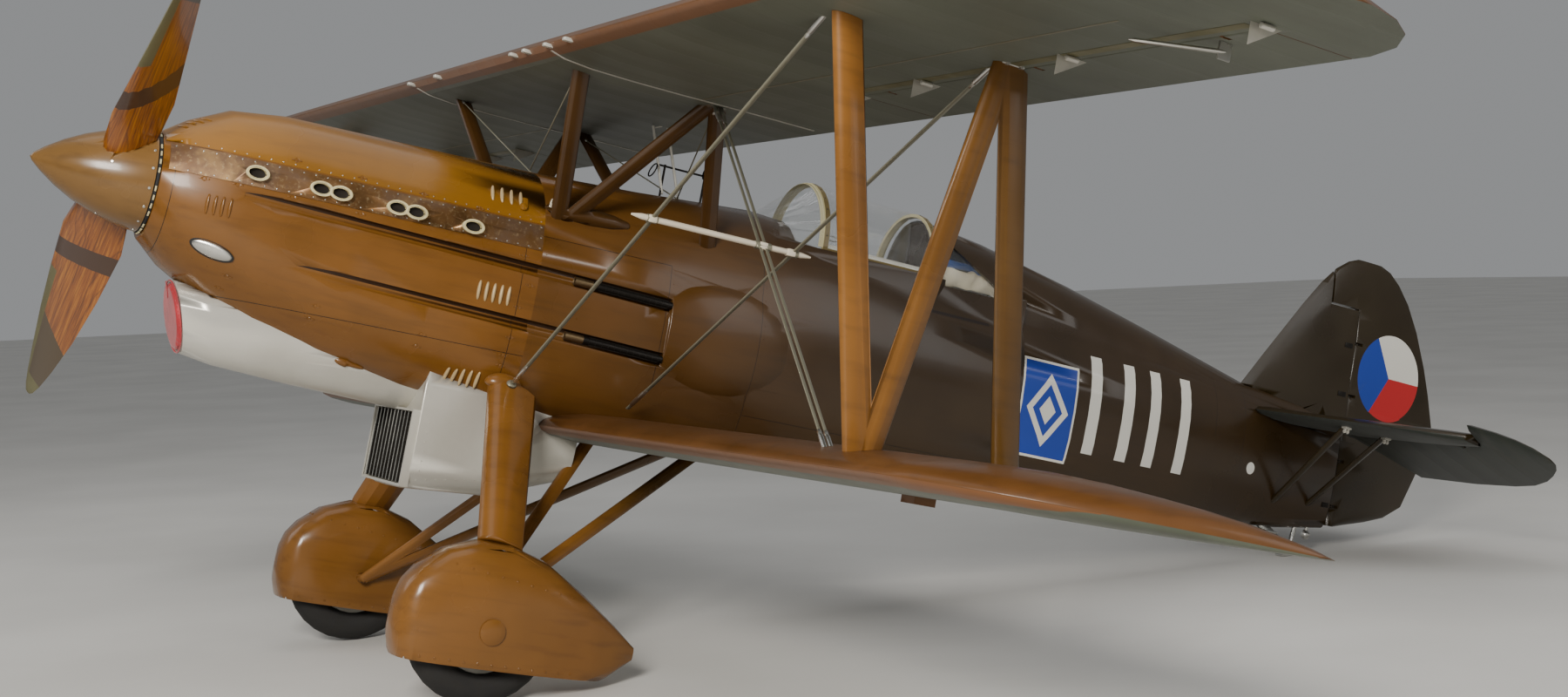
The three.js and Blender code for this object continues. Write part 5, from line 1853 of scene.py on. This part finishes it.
@dataclass
class TailTrim(Assembly):
    """Hinge plates, strut sockets, the ball under the stern and the skid's wear plate."""

    hinge: float = 7.37
    hinge_heights: tuple = (0.33, 0.62, -0.33)
    sockets: tuple = ((0.53, 6.985), (0.55, 7.27))
    ball_at: float = 7.303

    def build(self) -> None:
        """Builds the tail's fittings."""
        plate = blank(Blank.BLOCK, size=(0.03, 0.014, 0.003))
        shape(plate, facing("+z"), inset(0.004), push(0.0015))
        spots = Surface("fuselage_rear", "fin").both((self.hinge, h) for h in self.hinge_heights)
        finish(stamp(plate, spots), "rudder_hinge_plates", self.looks.gun)
        tail = Surface("tailplane")
        sockets = [tail.under(s * x, u) for x, u in self.sockets for s in BOTH]
        finish(stamp(clevis(0.022, 0.04), sockets), "tail_strut_sockets", self.looks.duct)
        knob = ball((0.026, 0.026, 0.03), (0, self.ball_at, -0.52), 24, 14)
        shape(knob, lambda c, n: c.z > -0.505, spread(0.7, 1, 1))
        stem = rod((0, self.ball_at, -0.50), (0, 7.30, -0.44), 0.012, 0.004)
        finish(join([knob, stem]), "jacking_ball", self.looks.bright)
        skid = blank(Blank.BLOCK, (0, 6.96, -0.545), (0.05, 0.09, 0.006))
        shape(skid, None, bevel(0.005, 2), part=Part.EDGES)
        finish(skid, "stern_plate", self.looks.bright)


@dataclass
class Gear(Assembly):
    """Screws and caps of the wheel fairings and the domes of the legs."""

    track: float = 0.925
    screw_lines: tuple = ((((1.72, -1.74), (2.4, -1.74)), 0.06),
                          (((1.74, -1.34), (2.35, -1.42)), 0.07))
    cap: tuple[float, float] = (2.003, -1.604)
    dome_at: tuple[float, float, float] = (0.404, 2.1, -0.572)

    def build(self) -> None:
        """Builds the details of both wheels and legs."""
        line = [spot for corners, step in self.screw_lines for spot in even(corners, step)]
        for side, sign in SIDES.items():
            spat = Surface(f"spat_{side}")
            spots = [spat.spot((sign * self.track + face, u, h), (-face, 0, 0))
                     for u, h in line for face in BOTH]
            finish(stamp(screw(0.0055), spots), f"spat_screws_{side}", self.looks.spat)
            cap = blank(Blank.BAR, (0, 0, 0.004), vertices=32, radius=0.055, depth=0.008)
            shape(cap, facing("+z"), inset(0.012), push(0.004), inset(0.014), push(0.004))
            seat = spat.spot((sign * 2, *self.cap), (-sign, 0, 0))
            finish(stamp(cap, [seat]), f"spat_cap_{side}", self.looks.spat)
        dome = ball((0.047, 0.088, 0.05), sides=32, rings=16)
        shape(dome, lambda c, n: c.z < -0.01, spread(1, 1, 0.5))
        domes = port_and_starboard(stamp(dome, [at(*self.dome_at)]))
        finish(domes, "leg_domes", self.looks.strut)


@dataclass
class Radiator(Assembly):
    """The shutters, core, frame and rivets of the radiator."""

    height: float = -0.925
    frame_at: float = 1.773
    shutters_at: float = 1.772
    core_at: float = 1.786
    shutters: int = 11
    pitch: float = 0.05
    half: tuple[float, float] = (0.284, 0.174)
    rivet_line: tuple = ((1.83, -0.80), (1.83, -1.06), (2.5, -0.95))

    def build(self) -> None:
        """Builds the radiator's face and its rows of rivets."""
        vane = blank(Blank.BLOCK, size=(0.0022, 0.019, 0.16), turn=(0, 0, 38))
        shape(vane, None, bevel(0.0015), part=Part.EDGES)
        first = -self.pitch * (self.shutters - 1) / 2
        spots = [at(first + self.pitch * i, self.shutters_at, self.height)
                 for i in range(self.shutters)]
        finish(stamp(vane, spots), "radiator_shutters", self.looks.bright)
        core = blank(Blank.BLOCK, (0, self.core_at, self.height), (0.272, 0.003, 0.163))
        shape(core, facing("-y"), divide(12))
        shape(core, facing("-y"), inset(0.004, each=True), push(-0.001))
        finish(core, "radiator_core", self.looks.soot)
        width, rise = self.half
        frame = blank(Blank.BLOCK, (0, self.frame_at, self.height), (width, 0.02, rise))
        shape(frame, facing("y"), inset(0.011), (bpy.ops.mesh.delete, {"type": "FACE"}))
        modify(frame, "SOLIDIFY", thickness=0.004, offset=-1)
        shape(frame, lambda c, n: abs(n.y) > 0.7 and abs(abs(c.x) - width) < 0.002, bevel(0.002, 2),
              part=Part.EDGES)
        finish(frame, "radiator_frame", self.looks.duct)
        spots = Surface("radiator").both(even(self.rivet_line, 0.045))
        finish(stamp(rivet(0.0045), spots), "radiator_rivets", self.looks.duct)


# Camera, light and floor


@dataclass(frozen=True)
class Studio:
    """A pale floor, soft lights, and the camera where the photographer stood."""

    eye: tuple[float, float, float] = (9.041, -5.299, 1.833)
    yaw: float = 1.078
    pitch: float = -0.045
    roll: float = -0.034
    lens: float = 46.894

    def camera(self) -> None:
        """Makes the camera at the photograph's viewing angle."""
        c, s = math.cos(self.pitch), math.sin(self.pitch)
        ahead = Vector((-math.sin(self.yaw) * c, math.cos(self.yaw) * c, s))
        right = ahead.cross(Vector((0, 0, 1))).normalized()
        up = right.cross(ahead)
        c, s = math.cos(self.roll), math.sin(self.roll)
        right, up = right * c + up * s, up * c - right * s
        data = bpy.data.cameras.new("camera")
        data.lens, data.sensor_width, data.sensor_fit = self.lens, 36.0, "HORIZONTAL"
        data.clip_start, data.clip_end = 0.1, 200.0
        camera = bpy.data.objects.new("camera", data)
        bpy.context.scene.collection.objects.link(camera)
        place = Matrix((right, up, -ahead)).transposed().to_4x4()
        place.translation = Vector(self.eye)
        camera.matrix_world = place
        bpy.context.scene.camera = camera

    def light(self, name: str, place: Point, aim: Point, size: float, power: float,
              tint: Point = (1, 1, 1)) -> None:
        """Adds a soft square lamp.

        Args:
            name: The lamp's name.
            place: Where it hangs.
            aim: The point that it faces.
            size: Its width in metres.
            power: Its strength in watts.
            tint: Its colour.
        """
        data = bpy.data.lights.new(name, "AREA")
        data.size, data.energy, data.color = size, power, tint
        lamp = bpy.data.objects.new(name, data)
        lamp.location = place
        lamp.rotation_euler = (Vector(aim) - Vector(place)).to_track_quat("-Z", "Y").to_euler()
        bpy.context.scene.collection.objects.link(lamp)

    def build(self) -> None:
        """Makes the camera, the floor and the lights."""
        self.camera()
        floor = blank(Blank.SHEET, (0, 0, -0.002), (60, 60, 1), x_subdivisions=2, y_subdivisions=2)
        r = Recipe("pale_floor")
        cloud = r.speckle(r.add("TexCoord", out="Object"), 0.6)
        tone = r.mix(cloud, linear("cfcdc8"), linear("d8d6d1"))
        floor.data.materials.append(r.surface(Base_Color=tone, Roughness=0.8))
        floor.name = "floor"
        world = bpy.data.worlds.new("studio_air")
        bpy.context.scene.world = world
        world.use_nodes = True
        air = world.node_tree.nodes["Background"].inputs
        air[0].default_value, air[1].default_value = linear("e4e6e8"), 0.36
        self.light("key", (9.5, -8.5, 6.2), (0, -1.2, 1.2), 3.0, 1650, (1.0, 0.96, 0.9))
        self.light("fill", (9, 6, 5), (0, 1, 1), 6, 260)
        self.light("top", (0, -1, 9), (0, 0, 0), 8, 200)
        self.light("back", (-6, -8, 7), (0, -1, 1), 5, 130)


def main() -> None:
    """Builds the aircraft and its studio in order."""
    logging.basicConfig(level=logging.INFO, format="%(message)s")
    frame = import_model()
    Studio().build()
    looks = Looks()
    Airframe(looks).dress()
    for assembly in (Nose, IntakeCover, Cowl, Guns, Fittings, WingTrim, Cockpit, Hood, TailTrim,
                     Gear, Radiator):
        assembly(looks).build()
        log.info("built %s", assembly.__name__)


if __name__ == "__main__":
    main()
